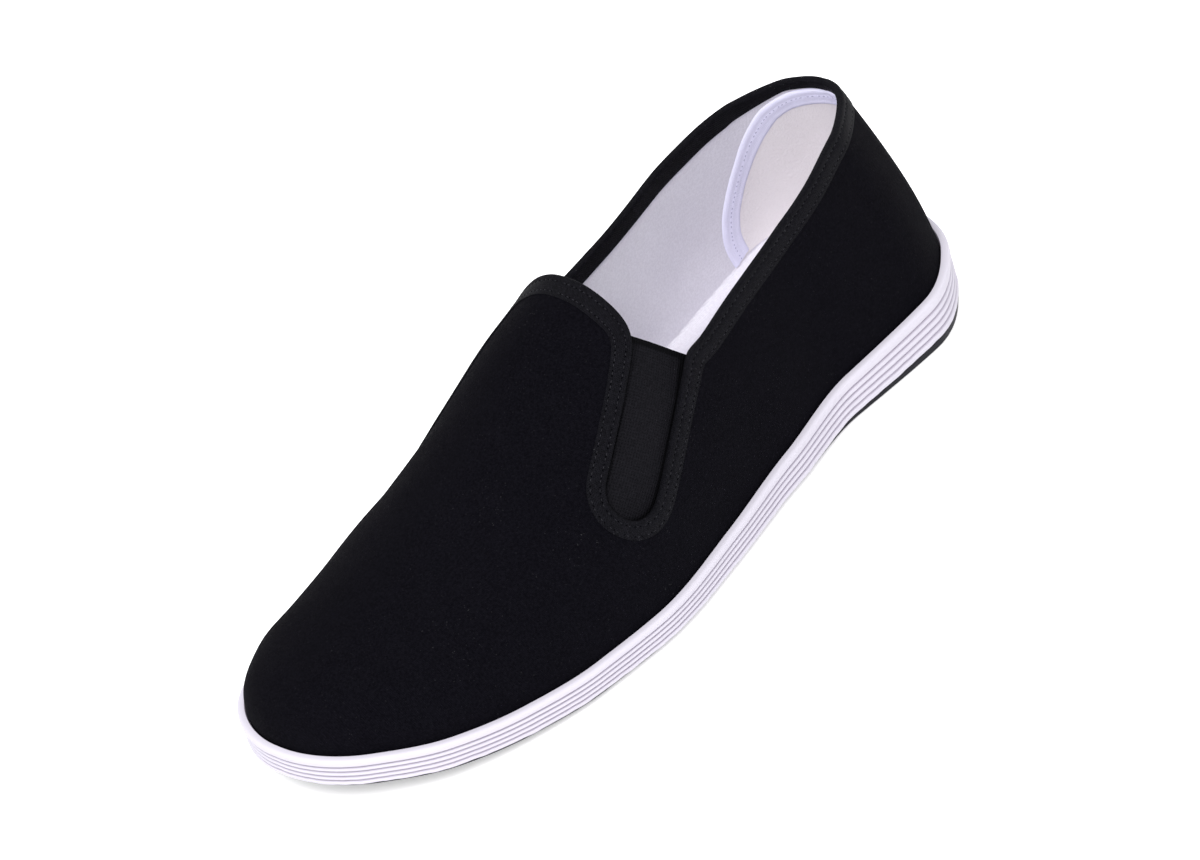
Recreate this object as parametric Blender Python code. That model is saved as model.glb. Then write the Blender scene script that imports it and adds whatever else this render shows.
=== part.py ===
"""A traditional cloth slip-on shoe for the left foot: a black cotton upper with an elastic gore in
a slanting notch on each side, bound all round its opening with tape, on a white moulded midsole
with a ribbed side and a black rubber outsole.

The toe points along -Y, the wearer's left is +X and the ground is z = 0. Lengths are in
millimetres, and the meshes are written in metres.
"""

import bpy
import numpy as np

# Driving sizes of the last, taken along the feather line, where the upper meets the sole
LAST_LENGTH = 272.0
BALL_WIDTH = 95.0
HEEL_WIDTH = 70.0
INSTEP_HEIGHT = 72.3
BACK_HEIGHT = 58.4
HEEL_LEAN = 14.0
TOE_SPRING = 6.8

# Upper, binding and gores
UPPER_WALL = 1.6
TAPE_WIDTH = 6.4
TAPE_THICKNESS = 0.5
TAPE_GAP = 0.34
THROAT_STATION = 0.514
THROAT_DEPTH = 1.4
THROAT_CORNER = 0.63
COLLAR_START = 0.553
NOTCH_LENGTH = 43.0
NOTCH_FOOT_RADIUS = 8.4
NOTCH_TURN = 2.5
GORE_THICKNESS = 1.1
GORE_MARGIN = 5.0
GORE_TOP_DROP = 1.5

# Sole
FOXING_FRONT = 8.8
FOXING_HEEL = 15.3
FOXING_OUT = 2.6
GROUND_GAP_FRONT = 2.0
GROUND_GAP_HEEL = 4.2
GROOVE_DEPTH = 0.8
EDGE_ROUND = 0.6
TRAY_DEPTH = 5.0
SOLE_RIM = 1.6
SOLE_RECESS = 2.2
TREAD_DEPTH = 1.8
INSOLE_THICKNESS = 3.0
CLEARANCE = 0.3

# Tread, measured along the length from the toe end of the last
LUG_PITCH = 16.0
LUG_WIDTH = 6.6
ZIGZAG_WAVE = 27.0
ZIGZAG_DEPTH = 8.0
FOREFOOT_LUGS = 5
FOREFOOT_LUGS_START = 0.215
HEEL_LUGS = 4
HEEL_BREAST = 0.715
BREAST_WIDTH = 4.0
STUD_LENGTH = 6.0
STUD_WIDTH = 9.0
STUD_SPACE = 3.2
STUD_ROWS = 3
STUDS_START = 0.06
RIM_LINE = 1.5
RIM_LIFT = 0.4

COLUMNS = 72
LEVELS = 12
LEVEL_CROWDING = 1.35
THROAT_CELLS = 9
BRIDGE_CELLS = 3
FRONT_SPREAD = 0.80
MM = 0.001

# Each row is a section across the shoe. station: share of the length from the toe. ball and heel:
# half width as shares of half the ball width and of half the heel width. centre and ridge_side:
# sideways place of the section and of its ridge, as shares of the ball width. ridge: height of
# the ridge above the feather line, as a share of the instep height. corner: exponent of the
# section's superellipse. spring: share of the toe spring. band: share of the foxing's growth
# from front to heel. lift: share of the growth of the gap under it.
SECTION_COLUMNS = (
    "station", "ball", "heel", "centre", "ridge_side", "ridge", "corner", "spring", "band", "lift",
)
SECTIONS = (
    (0.00, 0.000, 0.000, -0.074, 0.000, 0.000, 2.20, 1.00, 0.05, 0.00),
    (0.04, 0.558, 0.000, -0.062, 0.004, 0.199, 2.18, 0.82, 0.04, 0.00),
    (0.10, 0.798, 0.000, -0.034, 0.011, 0.292, 2.15, 0.54, 0.02, 0.00),
    (0.18, 0.928, 0.000, -0.004, 0.019, 0.408, 2.10, 0.25, 0.00, 0.00),
    (0.27, 1.000, 0.000, 0.017, 0.028, 0.540, 2.06, 0.07, 0.00, 0.00),
    (0.36, 0.998, 0.000, 0.038, 0.033, 0.694, 2.10, 0.00, 0.02, 0.00),
    (0.50, 0.600, 0.352, 0.055, 0.038, 1.000, 2.24, 0.00, 0.17, 0.00),
    (0.62, 0.250, 0.666, 0.049, 0.042, 1.180, 2.21, 0.00, 0.37, 0.05),
    (0.75, 0.000, 0.940, 0.019, 0.026, 1.320, 2.07, 0.00, 0.58, 0.37),
    (0.88, 0.000, 1.000, 0.010, 0.013, 1.364, 1.46, 0.00, 0.80, 0.70),
    (0.96, 0.000, 0.711, 0.006, 0.004, 1.333, 1.13, 0.00, 0.93, 0.90),
    (1.00, 0.000, 0.000, 0.000, 0.000, 1.300, 1.13, 0.00, 1.00, 1.00),
)
# Height of the collar line above the feather line, as a share of the back height
COLLAR_COLUMNS = ("station", "height")
COLLAR = (
    (0.553, 0.865),
    (0.66, 0.905),
    (0.77, 0.975),
    (0.88, 1.025),
    (0.95, 1.020),
    (1.00, 1.000),
)
# Levels of the four grooves in the foxing, as shares of its height
GROOVE_LEVELS = (0.59, 0.45, 0.31, 0.17)
GROOVE_HALF = 0.035


def smooth_slopes(xs, ys):
    """Slopes of a curve through the points that never overshoots them."""
    steps = np.diff(ys) / np.diff(xs)
    slopes = np.zeros_like(ys)
    slopes[0], slopes[-1] = steps[0], steps[-1]
    for i in range(1, len(xs) - 1):
        before, after = steps[i - 1], steps[i]
        if before * after > 0:
            slopes[i] = 2.0 * before * after / (before + after)
    return slopes


def read_curve(xs, ys, at):
    """A cubic between each two points, with the slopes of smooth_slopes."""
    at = np.clip(at, xs[0], xs[-1])
    slopes = smooth_slopes(xs, ys)
    i = np.clip(np.searchsorted(xs, at, side="right") - 1, 0, len(xs) - 2)
    width = xs[i + 1] - xs[i]
    t = (at - xs[i]) / width
    rise = (3.0 - 2.0 * t) * t * t
    return (
        ys[i] * (1.0 - rise)
        + ys[i + 1] * rise
        + width * t * (1.0 - t) * (slopes[i] * (1.0 - t) - slopes[i + 1] * t)
    )


def turn_of(station):
    """The turn round the last at a station: 0 at the toe, pi at the heel."""
    return np.arccos(np.clip(1.0 - 2.0 * np.asarray(station, float), -1.0, 1.0))


SECTION_TABLE = np.array(SECTIONS)
COLLAR_TABLE = np.array(COLLAR)
SECTION_TURNS = turn_of(SECTION_TABLE[:, 0])
COLLAR_TURNS = turn_of(COLLAR_TABLE[:, 0])


def column(name, turn):
    """One column of the section table, read at a turn of the last between 0 and pi."""
    return read_curve(SECTION_TURNS, SECTION_TABLE[:, SECTION_COLUMNS.index(name)], turn)


def fold(turn):
    """The turn on one side of the last, and +1 on its lateral side or -1 on its medial side."""
    turn = np.mod(turn, 2.0 * np.pi)
    return np.where(turn > np.pi, 2.0 * np.pi - turn, turn), np.where(turn > np.pi, -1.0, 1.0)


def half_width(turn):
    return (column("ball", turn) * BALL_WIDTH + column("heel", turn) * HEEL_WIDTH) / 2.0


def centre_side(turn):
    return column("centre", turn) * BALL_WIDTH


def ground(turn):
    """Height of the tread's running face."""
    return column("spring", turn) * TOE_SPRING


def foxing_bottom(turn):
    growth = column("lift", turn)
    return ground(turn) + GROUND_GAP_FRONT + growth * (GROUND_GAP_HEEL - GROUND_GAP_FRONT)


def foxing_height(turn):
    return FOXING_FRONT + column("band", turn) * (FOXING_HEEL - FOXING_FRONT)


def feather(turn):
    """Height of the feather line, at the top edge of the foxing."""
    return foxing_bottom(turn) + foxing_height(turn)


def last_point(turn, quarter):
    """Points of the upper's outer face. turn runs from the toe round to the heel, and quarter is
    the angle over the section: 0 on the lateral feather line, pi on the medial one."""
    half, centre = half_width(turn), centre_side(turn)
    ridge = column("ridge", turn) * INSTEP_HEIGHT
    power = 2.0 / column("corner", turn)
    top_side = centre - column("ridge_side", turn) * BALL_WIDTH
    across = np.cos(quarter)
    side = np.where(across >= 0.0, centre + half, centre - half)
    x = top_side + (side - top_side) * np.abs(across) ** power
    rise = ridge * np.abs(np.sin(quarter)) ** power
    station = (1.0 - np.cos(turn)) / 2.0
    behind = np.clip((station - 0.75) / 0.25, 0.0, 1.0) ** 2
    lean = behind * HEEL_LEAN * np.clip(rise / BACK_HEIGHT, 0.0, 1.6) ** 1.5
    y = (station - 0.5) * LAST_LENGTH - lean
    return np.stack([x, y, feather(turn) + rise], axis=-1)


def unit(vectors):
    return vectors / np.linalg.norm(vectors, axis=-1, keepdims=True)


def last_normal(turn, quarter):
    """Outward normals of the upper's outer face, by central differences."""
    step = 0.012
    turn = np.clip(turn, 0.035, np.pi - 0.035)
    quarter = np.clip(quarter, 0.03, np.pi - 0.03)
    along = last_point(turn + step, quarter) - last_point(turn - step, quarter)
    over = last_point(turn, quarter + step) - last_point(turn, quarter - step)
    return unit(np.cross(along, over))


def off_last(turn, quarter, out):
    """Points of the last moved out along its normals, or in where out is negative."""
    return last_point(turn, quarter) + np.asarray(out)[..., None] * last_normal(turn, quarter)


def quarter_at_height(turn, height):
    """The angle over the section, on the lateral side, at a height above the feather line."""
    ridge = column("ridge", turn) * INSTEP_HEIGHT
    share = np.clip(height / np.maximum(ridge, 1e-6), 0.0, 0.98)
    return np.arcsin(share ** (column("corner", turn) / 2.0))


def collar_quarter(turn):
    height = BACK_HEIGHT * read_curve(COLLAR_TURNS, COLLAR_TABLE[:, 1], turn)
    return quarter_at_height(turn, height)


def throat_turn(quarter):
    """The throat line bows back a little from the notch's corner to the ridge."""
    share = np.clip((quarter / (np.pi / 2.0) - THROAT_CORNER) / (1.0 - THROAT_CORNER), 0.0, 1.0)
    station = THROAT_STATION + THROAT_DEPTH / LAST_LENGTH * np.sin(share * np.pi / 2.0)
    return turn_of(station)


def outline(turns, out):
    """The feather line seen from above, moved out by a distance, as x and y."""
    def plan(at):
        one, side = fold(at)
        x = centre_side(one) + side * half_width(one)
        return np.stack([x, -np.cos(one) * LAST_LENGTH / 2.0], axis=-1)

    along = plan(turns + 0.02) - plan(turns - 0.02)
    normal = unit(np.stack([along[:, 1], -along[:, 0]], axis=-1))
    return plan(turns) + out * normal


RING_TURNS = np.arange(COLUMNS) * 2.0 * np.pi / COLUMNS
RING_ONE, RING_SIDE = fold(RING_TURNS)
OUTER_EDGE = outline(RING_TURNS, FOXING_OUT)
PLAN_SHIFT = np.array([
    -(OUTER_EDGE[:, 0].max() + OUTER_EDGE[:, 0].min()) / 2.0,
    -(OUTER_EDGE[:, 1].max() + OUTER_EDGE[:, 1].min()) / 2.0,
    0.0,
])


def ring(out, heights):
    """A closed ring round the sole: the feather line moved out, at the given heights."""
    return np.column_stack([outline(RING_TURNS, out), heights])


def material(name, colour, roughness):
    found = bpy.data.materials.new(name)
    found.use_nodes = True
    shader = found.node_tree.nodes["Principled BSDF"]
    shader.inputs["Base Color"].default_value = (*colour, 1.0)
    shader.inputs["Roughness"].default_value = roughness
    shader.inputs["Metallic"].default_value = 0.0
    return found


def add_piece(name, points, faces, finish):
    """A named object from points in millimetres, shifted so that the sole is centred."""
    mesh = bpy.data.meshes.new(name)
    placed = (np.asarray(points, float) + PLAN_SHIFT) * MM
    mesh.from_pydata(placed.tolist(), [], [tuple(face) for face in faces])
    mesh.validate()
    mesh.shade_smooth()
    mesh.set_sharp_from_angle(angle=np.radians(38.0))
    mesh.materials.append(finish)
    piece = bpy.data.objects.new(name, mesh)
    bpy.context.collection.objects.link(piece)
    return piece


def band_faces(rows, count, closed_rows=False):
    """Faces between each two neighbouring rings of count points, and back to the first ring
    where closed_rows is set."""
    faces = []
    last = rows if closed_rows else rows - 1
    for r in range(last):
        a, b = r * count, (r + 1) % rows * count
        for i in range(count):
            j = (i + 1) % count
            faces.append((a + i, a + j, b + j, b + i))
    return faces


def cap_faces(start, upward):
    """Strips across a ring of COLUMNS points, from the toe to the heel."""
    faces = []
    for i in range(COLUMNS // 2):
        a, b = start + i, start + i + 1
        c, d = start + (COLUMNS - i - 1) % COLUMNS, start + (COLUMNS - i) % COLUMNS
        corners = [p for k, p in enumerate((a, b, c, d)) if p not in (a, b, c, d)[:k]]
        faces.append(tuple(corners if upward else corners[::-1]))
    return faces


def stacked_rings(name, rings, finish):
    """A closed solid from rings that run from its top face down its side to its bottom face."""
    faces = cap_faces(0, True)
    faces += [face[::-1] for face in band_faces(len(rings), COLUMNS)]
    faces += cap_faces((len(rings) - 1) * COLUMNS, False)
    return add_piece(name, np.concatenate(rings), faces, finish)


def join(target, other, operation):
    """Applies a Boolean to the target's mesh and removes the other object."""
    change = target.modifiers.new("join", "BOOLEAN")
    change.operation = operation
    change.solver = "EXACT"
    change.object = other
    bpy.context.view_layer.update()
    evaluated = target.evaluated_get(bpy.context.evaluated_depsgraph_get())
    mesh = bpy.data.meshes.new_from_object(evaluated)
    target.modifiers.remove(change)
    target.data = mesh
    bpy.data.objects.remove(other)


def midsole(finish):
    """The white midsole: a tray with a ribbed side and a shallow recess for the outsole."""
    top = feather(RING_ONE)
    height = foxing_height(RING_ONE)
    low = foxing_bottom(RING_ONE)
    rings = [
        ring(CLEARANCE, top - TRAY_DEPTH),
        ring(CLEARANCE, top),
        ring(FOXING_OUT - EDGE_ROUND, top),
        ring(FOXING_OUT, top - EDGE_ROUND),
    ]
    for level in GROOVE_LEVELS:
        rings.append(ring(FOXING_OUT, low + (level + GROOVE_HALF) * height))
        rings.append(ring(FOXING_OUT - GROOVE_DEPTH, low + level * height))
        rings.append(ring(FOXING_OUT, low + (level - GROOVE_HALF) * height))
    rings += [
        ring(FOXING_OUT, low),
        ring(FOXING_OUT - SOLE_RIM, low),
        ring(FOXING_OUT - SOLE_RIM, low + SOLE_RECESS),
    ]
    return stacked_rings("midsole", rings, finish)


def flat_prism(name, corners, low, high):
    """An upright prism on a closed outline of x and y, for cutting or joining."""
    corners = np.asarray(corners, float)
    count = len(corners)
    points = np.concatenate([
        np.column_stack([corners, np.full(count, low)]),
        np.column_stack([corners, np.full(count, high)]),
    ])
    faces = [tuple(range(count))[::-1], tuple(range(count, 2 * count))]
    faces += [(i, (i + 1) % count, count + (i + 1) % count, count + i) for i in range(count)]
    return add_piece(name, points, faces, None)


def zigzag(middle):
    """The outline of one zigzag lug that crosses the whole sole at a place along the length."""
    reach = int(np.ceil(BALL_WIDTH / ZIGZAG_WAVE)) + 1
    x = np.arange(-reach, reach + 1) * ZIGZAG_WAVE / 2.0
    y = middle + np.where(np.arange(len(x)) % 2 == 0, -0.5, 0.5) * ZIGZAG_DEPTH
    front = np.column_stack([x, y - LUG_WIDTH / 2.0])
    back = np.column_stack([x, y + LUG_WIDTH / 2.0])
    return np.concatenate([front, back[::-1]])


def block(x, y, width, length):
    half_w, half_l = width / 2.0, length / 2.0
    return [
        (x - half_w, y - half_l),
        (x + half_w, y - half_l),
        (x + half_w, y + half_l),
        (x - half_w, y + half_l),
    ]


def tread_outlines():
    """Outlines of all lugs, seen from above and counter-clockwise."""
    toe = -LAST_LENGTH / 2.0
    found = []
    for i in range(FOREFOOT_LUGS):
        found.append(zigzag(toe + FOREFOOT_LUGS_START * LAST_LENGTH + i * LUG_PITCH))
    breast = toe + HEEL_BREAST * LAST_LENGTH
    found.append(block(0.0, breast, 2.0 * BALL_WIDTH, BREAST_WIDTH))
    for i in range(HEEL_LUGS):
        found.append(zigzag(breast + (i + 0.95) * LUG_PITCH))
    for row in range(STUD_ROWS):
        y = toe + STUDS_START * LAST_LENGTH + row * (STUD_LENGTH + STUD_SPACE)
        pitch = STUD_WIDTH + STUD_SPACE
        for place in range(-3, 4):
            x = (place + 0.5 * (row % 2)) * pitch - 0.05 * BALL_WIDTH
            found.append(block(x, y, STUD_WIDTH, STUD_LENGTH))
    return found


def outsole(finish):
    """The black outsole: a plate that sits in the midsole's recess, with a fine raised rim, and
    lugs cut from a slab that follows the toe spring."""
    edge = FOXING_OUT - SOLE_RIM - CLEARANCE
    run = ground(RING_ONE)
    base = run + TREAD_DEPTH
    bevel = 0.5
    body = stacked_rings("outsole", [
        ring(edge, foxing_bottom(RING_ONE) + SOLE_RECESS - CLEARANCE),
        ring(edge, run + RIM_LIFT),
        ring(edge - RIM_LINE, run + RIM_LIFT),
        ring(edge - RIM_LINE - bevel, base),
    ], finish)
    overlap = 0.5
    lug_edge = edge - RIM_LINE - 2.0 * bevel
    slab = stacked_rings("tread", [ring(lug_edge, base + overlap), ring(lug_edge, run)], finish)
    lugs = None
    for number, corners in enumerate(tread_outlines()):
        corners = np.asarray(corners)
        inside = np.abs(corners[:, 0]) < BALL_WIDTH
        high = TOE_SPRING + 3.0 * TREAD_DEPTH
        lug = flat_prism(f"lug_{number}", corners[inside], -TREAD_DEPTH, high)
        if lugs is None:
            lugs = lug
        else:
            join(lugs, lug, "UNION")
    join(slab, lugs, "INTERSECT")
    join(body, slab, "UNION")
    return body


def insole(finish):
    """The thin insole on the floor of the tray."""
    edge = -UPPER_WALL - 2.0 * CLEARANCE
    floor = feather(RING_ONE) - TRAY_DEPTH + CLEARANCE
    return stacked_rings("insole", [
        ring(edge - EDGE_ROUND, floor + INSOLE_THICKNESS),
        ring(edge, floor + INSOLE_THICKNESS - EDGE_ROUND),
        ring(edge, floor),
    ], finish)


# A chart of the upper: length along the last, and girth measured up the section from the
# lateral feather line. The medial side uses the same chart, mirrored.
GIRTH_STEPS = np.linspace(0.0, np.pi, 97)


def girth_line(length, side):
    """Girths at GIRTH_STEPS for one section, from the feather line of the given side."""
    turn = turn_of(length / LAST_LENGTH)
    steps = GIRTH_STEPS if side > 0 else np.pi - GIRTH_STEPS
    points = last_point(np.full(len(steps), turn), steps)
    return np.concatenate([[0.0], np.cumsum(np.linalg.norm(np.diff(points, axis=0), axis=1))])


def from_chart(length, girth, side):
    """The turn and the angle over the section of one point of the chart."""
    quarter = np.interp(girth, girth_line(length, side), GIRTH_STEPS)
    return float(turn_of(length / LAST_LENGTH)), float(quarter if side > 0 else np.pi - quarter)


def to_chart(turn, quarter, side):
    length = (1.0 - np.cos(turn)) / 2.0 * LAST_LENGTH
    return np.array([length, np.interp(quarter, GIRTH_STEPS, girth_line(length, side))])


class Notch:
    """The slanting notch for the gore, in the chart: two straight sides from the throat corner
    and the collar's start, tangent to a round foot."""

    def __init__(self, side):
        throat = float(throat_turn(THROAT_CORNER * np.pi / 2.0))
        start = float(turn_of(COLLAR_START))
        self.throat = to_chart(throat, THROAT_CORNER * np.pi / 2.0, side)
        self.collar = to_chart(start, float(collar_quarter(start)), side)
        mouth = self.throat - self.collar
        turn = np.radians(NOTCH_TURN)
        down = np.array([-mouth[1], mouth[0]]) / np.linalg.norm(mouth)
        down = np.array([
            down[0] * np.cos(turn) - down[1] * np.sin(turn),
            down[0] * np.sin(turn) + down[1] * np.cos(turn),
        ])
        self.down = down
        self.middle = (self.throat + self.collar) / 2.0
        self.foot = self.middle + down * NOTCH_LENGTH

    def tangent(self, corner, sign, radius):
        """Where the side from a corner touches a circle round the foot."""
        away = corner - self.foot
        distance = np.linalg.norm(away)
        lean = sign * np.arccos(min(radius / distance, 1.0))
        spin = np.array([[np.cos(lean), -np.sin(lean)], [np.sin(lean), np.cos(lean)]])
        return self.foot + spin @ (away / distance) * radius

    def outline(self, straight, round_steps, margin=0.0):
        """Points from the throat corner round the foot to the collar's start."""
        radius = NOTCH_FOOT_RADIUS + margin
        across = (self.throat - self.collar) / np.linalg.norm(self.throat - self.collar)
        front, back = self.throat + across * margin, self.collar - across * margin
        a = self.tangent(front, 1.0, radius)
        b = self.tangent(back, -1.0, radius)
        start = np.arctan2(*(a - self.foot)[::-1])
        sweep = np.mod(np.arctan2(*(b - self.foot)[::-1]) - start, 2.0 * np.pi)
        rounds = start + sweep * np.linspace(0.0, 1.0, round_steps + 1)
        arc = self.foot + radius * np.column_stack([np.cos(rounds), np.sin(rounds)])
        ahead = np.linspace(0.0, 1.0, straight, endpoint=False)[:, None]
        after = np.linspace(0.0, 1.0, straight + 1)[1:, None]
        return np.concatenate([front + (a - front) * ahead, arc, b + (back - b) * after])


def chart_points(chart, side, out):
    """Chart points put on the last and moved out along its normals."""
    where = np.array([from_chart(length, girth, side) for length, girth in chart])
    return off_last(where[:, 0], where[:, 1], np.full(len(where), out))


def opening_levels():
    """The edge of the opening without its notches: for each column of the ring, the turn and
    the angle over the section. The front columns end on the throat."""
    notch_top = THROAT_CORNER * np.pi / 2.0
    start = float(turn_of(COLLAR_START))
    turns, quarters = [], []
    half = COLUMNS // 2
    for i in range(half + 1):
        if i <= THROAT_CELLS:
            quarter = np.pi / 2.0 + (notch_top - np.pi / 2.0) * i / THROAT_CELLS
            turn = float(throat_turn(quarter))
        elif i < THROAT_CELLS + BRIDGE_CELLS:
            share = (i - THROAT_CELLS) / BRIDGE_CELLS
            turn = float(throat_turn(notch_top)) * (1.0 - share) + start * share
            quarter = notch_top * (1.0 - share) + float(collar_quarter(start)) * share
        else:
            share = (i - THROAT_CELLS - BRIDGE_CELLS) / (half - THROAT_CELLS - BRIDGE_CELLS)
            turn = start + (np.pi - start) * share
            quarter = float(collar_quarter(turn))
        turns.append(turn)
        quarters.append(quarter)
    return np.array(turns), np.array(quarters)


def upper_grid():
    """Turns and angles of the upper's grid, a row for each level from the feather line to the
    edge of the opening. Columns at the front run straight in a chart round the toe, and those
    at the back run along their sections."""
    half = COLUMNS // 2
    end_turn, end_quarter = opening_levels()
    front = THROAT_CELLS + BRIDGE_CELLS
    first = end_turn.copy()
    first[: front + 1] = FRONT_SPREAD * turn_of(COLLAR_START) * np.linspace(0.0, 1.0, front + 1)
    first[front : front + 6] = np.linspace(first[front], end_turn[front + 5], 6)
    t = 1.0 - (1.0 - np.linspace(0.0, 1.0, LEVELS)[:, None]) ** LEVEL_CROWDING
    polar_turn = first + (end_turn - first) * t
    polar_quarter = end_quarter * t
    straight_x = first * (1.0 - t) + end_turn * np.cos(end_quarter) * t
    straight_z = end_turn * np.sin(end_quarter) * t
    weight = np.clip(1.0 - (np.arange(half + 1) - front + 2.0) / 6.0, 0.0, 1.0)
    x = polar_turn * np.cos(polar_quarter) * (1.0 - weight) + straight_x * weight
    z = polar_turn * np.sin(polar_quarter) * (1.0 - weight) + straight_z * weight
    turn = np.hypot(x, z)
    quarter = np.arctan2(z, x)
    back = slice(half - 1, 0, -1)
    return (
        np.concatenate([turn, turn[:, back]], axis=1),
        np.concatenate([quarter, np.pi - quarter[:, back]], axis=1),
    )


def upper(finish):
    """The hollow upper: an outer and an inner face joined along the hem and the opening."""
    turn, quarter = upper_grid()
    outer = last_point(turn, quarter)
    inner = off_last(turn, quarter, np.full(turn.shape, -UPPER_WALL))
    hem_drop = TRAY_DEPTH - CLEARANCE
    hem_turns = np.where(RING_SIDE > 0, turn[0], 2.0 * np.pi - turn[0])
    heights = feather(turn[0])
    outer_hem = np.column_stack([outline(hem_turns, 0.0), heights - hem_drop])
    inner_hem = np.column_stack([outline(hem_turns, -UPPER_WALL), heights - hem_drop])
    inner[0] = np.column_stack([outline(hem_turns, -UPPER_WALL), heights])
    rows = np.concatenate([outer_hem[None], outer, inner[::-1], inner_hem[None]])
    faces = band_faces(len(rows), COLUMNS, closed_rows=True)
    shell = add_piece("upper", rows.reshape(-1, 3), faces, finish)
    for side in (1.0, -1.0):
        notch = Notch(side)
        edge = notch.outline(4, 9)
        past = -notch.down * 9.0
        edge = np.concatenate([[edge[0] + past], edge, [edge[-1] + past]])
        join(shell, slab_on_last("notch", edge, side, 4.0, -5.0, finish), "DIFFERENCE")
    return shell


def slab_on_last(name, edge, side, high, low, finish):
    """A solid between two offsets of the last, inside an outline of the chart."""
    count = len(edge)
    points = np.concatenate([chart_points(edge, side, high), chart_points(edge, side, low)])
    top = tuple(range(count))
    bottom = tuple(range(2 * count - 1, count - 1, -1))
    sides = [(i, count + i, count + (i + 1) % count, (i + 1) % count) for i in range(count)]
    faces = [top, bottom, *sides]
    if side < 0:
        faces = [face[::-1] for face in faces]
    return add_piece(name, points, faces, finish)


def edge_side(side):
    """The edge of the opening on one side, as rows of turn and angle over the section: from the
    throat's middle down and up the notch and along the collar to the heel."""
    quarters = np.linspace(np.pi / 2.0, THROAT_CORNER * np.pi / 2.0, 7)[:-1]
    path = [(float(throat_turn(q)), float(q)) for q in quarters]
    start = float(turn_of(COLLAR_START))
    after = [(turn, float(collar_quarter(turn))) for turn in np.linspace(start, np.pi, 16)[1:]]
    if side < 0:
        path = [(turn, np.pi - quarter) for turn, quarter in path]
        after = [(turn, np.pi - quarter) for turn, quarter in after]
    path += [from_chart(length, girth, side) for length, girth in Notch(side).outline(5, 8)]
    return np.array(path + after)


def walk(turn, quarter, step):
    """Moves points of the last by short steps that lie in its face, and stays on the face."""
    small = 1e-4
    here = last_point(turn, quarter)
    by_turn = (last_point(turn + small, quarter) - here) / small
    by_quarter = (last_point(turn, quarter + small) - here) / small
    a = (by_turn * by_turn).sum(-1)
    b = (by_turn * by_quarter).sum(-1)
    c = (by_quarter * by_quarter).sum(-1)
    p = (by_turn * step).sum(-1)
    q = (by_quarter * step).sum(-1)
    det = a * c - b * b
    return turn + (c * p - b * q) / det, quarter + (a * q - b * p) / det


def binding(finish):
    """The tape folded over the edge of the opening, as one closed loop of folded sections."""
    lateral, medial = edge_side(1.0), edge_side(-1.0)
    half = len(lateral)
    turns, quarters = np.concatenate([lateral, medial[-2:0:-1]]).T
    safe_turns = np.minimum(turns, np.pi - 0.02)
    edge = last_point(turns, quarters)
    normal = last_normal(turns, quarters)
    normal[half - 1] = unit(normal[half - 1] * np.array([0.0, 1.0, 1.0]))
    before = unit(edge - np.roll(edge, 1, axis=0))
    after = unit(np.roll(edge, -1, axis=0) - edge)
    along = unit(before + after)
    mitre = 1.0 / np.maximum((along * after).sum(-1), 0.5)
    inward = unit(np.cross(along, normal)) * mitre[:, None]
    depths = (TAPE_WIDTH, TAPE_WIDTH / 2.0, 0.0)
    feet = {0.0: (edge, normal)}
    for depth in depths[:-1]:
        t, q = safe_turns, quarters
        for _ in range(4):
            t, q = walk(t, q, inward * depth / 4.0)
        feet[depth] = (last_point(t, q), last_normal(t, q))
        middle = feet[depth]
        middle[0][half - 1, 0] = edge[half - 1, 0]
        middle[1][half - 1] = unit(middle[1][half - 1] * np.array([0.0, 1.0, 1.0]))
    near, far = TAPE_GAP, TAPE_GAP + TAPE_THICKNESS
    wall = -UPPER_WALL
    roll = far * 0.6
    profile = [
        (depths[0], far), (depths[1], far), (-roll, far), (-far, wall / 2.0), (-roll, wall - far),
        (depths[1], wall - far), (depths[0], wall - far), (depths[0], wall - near),
        (depths[1], wall - near), (-near, wall - near), (-near, near), (depths[1], near),
        (depths[0], near),
    ]
    rows = []
    for depth, out in profile:
        base, up = feet[max(depth, 0.0)]
        rows.append(base + up * out + inward * min(depth, 0.0))
    points = np.stack(rows)
    faces = band_faces(len(profile), len(turns), closed_rows=True)
    return add_piece("collar_binding", points.reshape(-1, 3), faces, finish)


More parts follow.
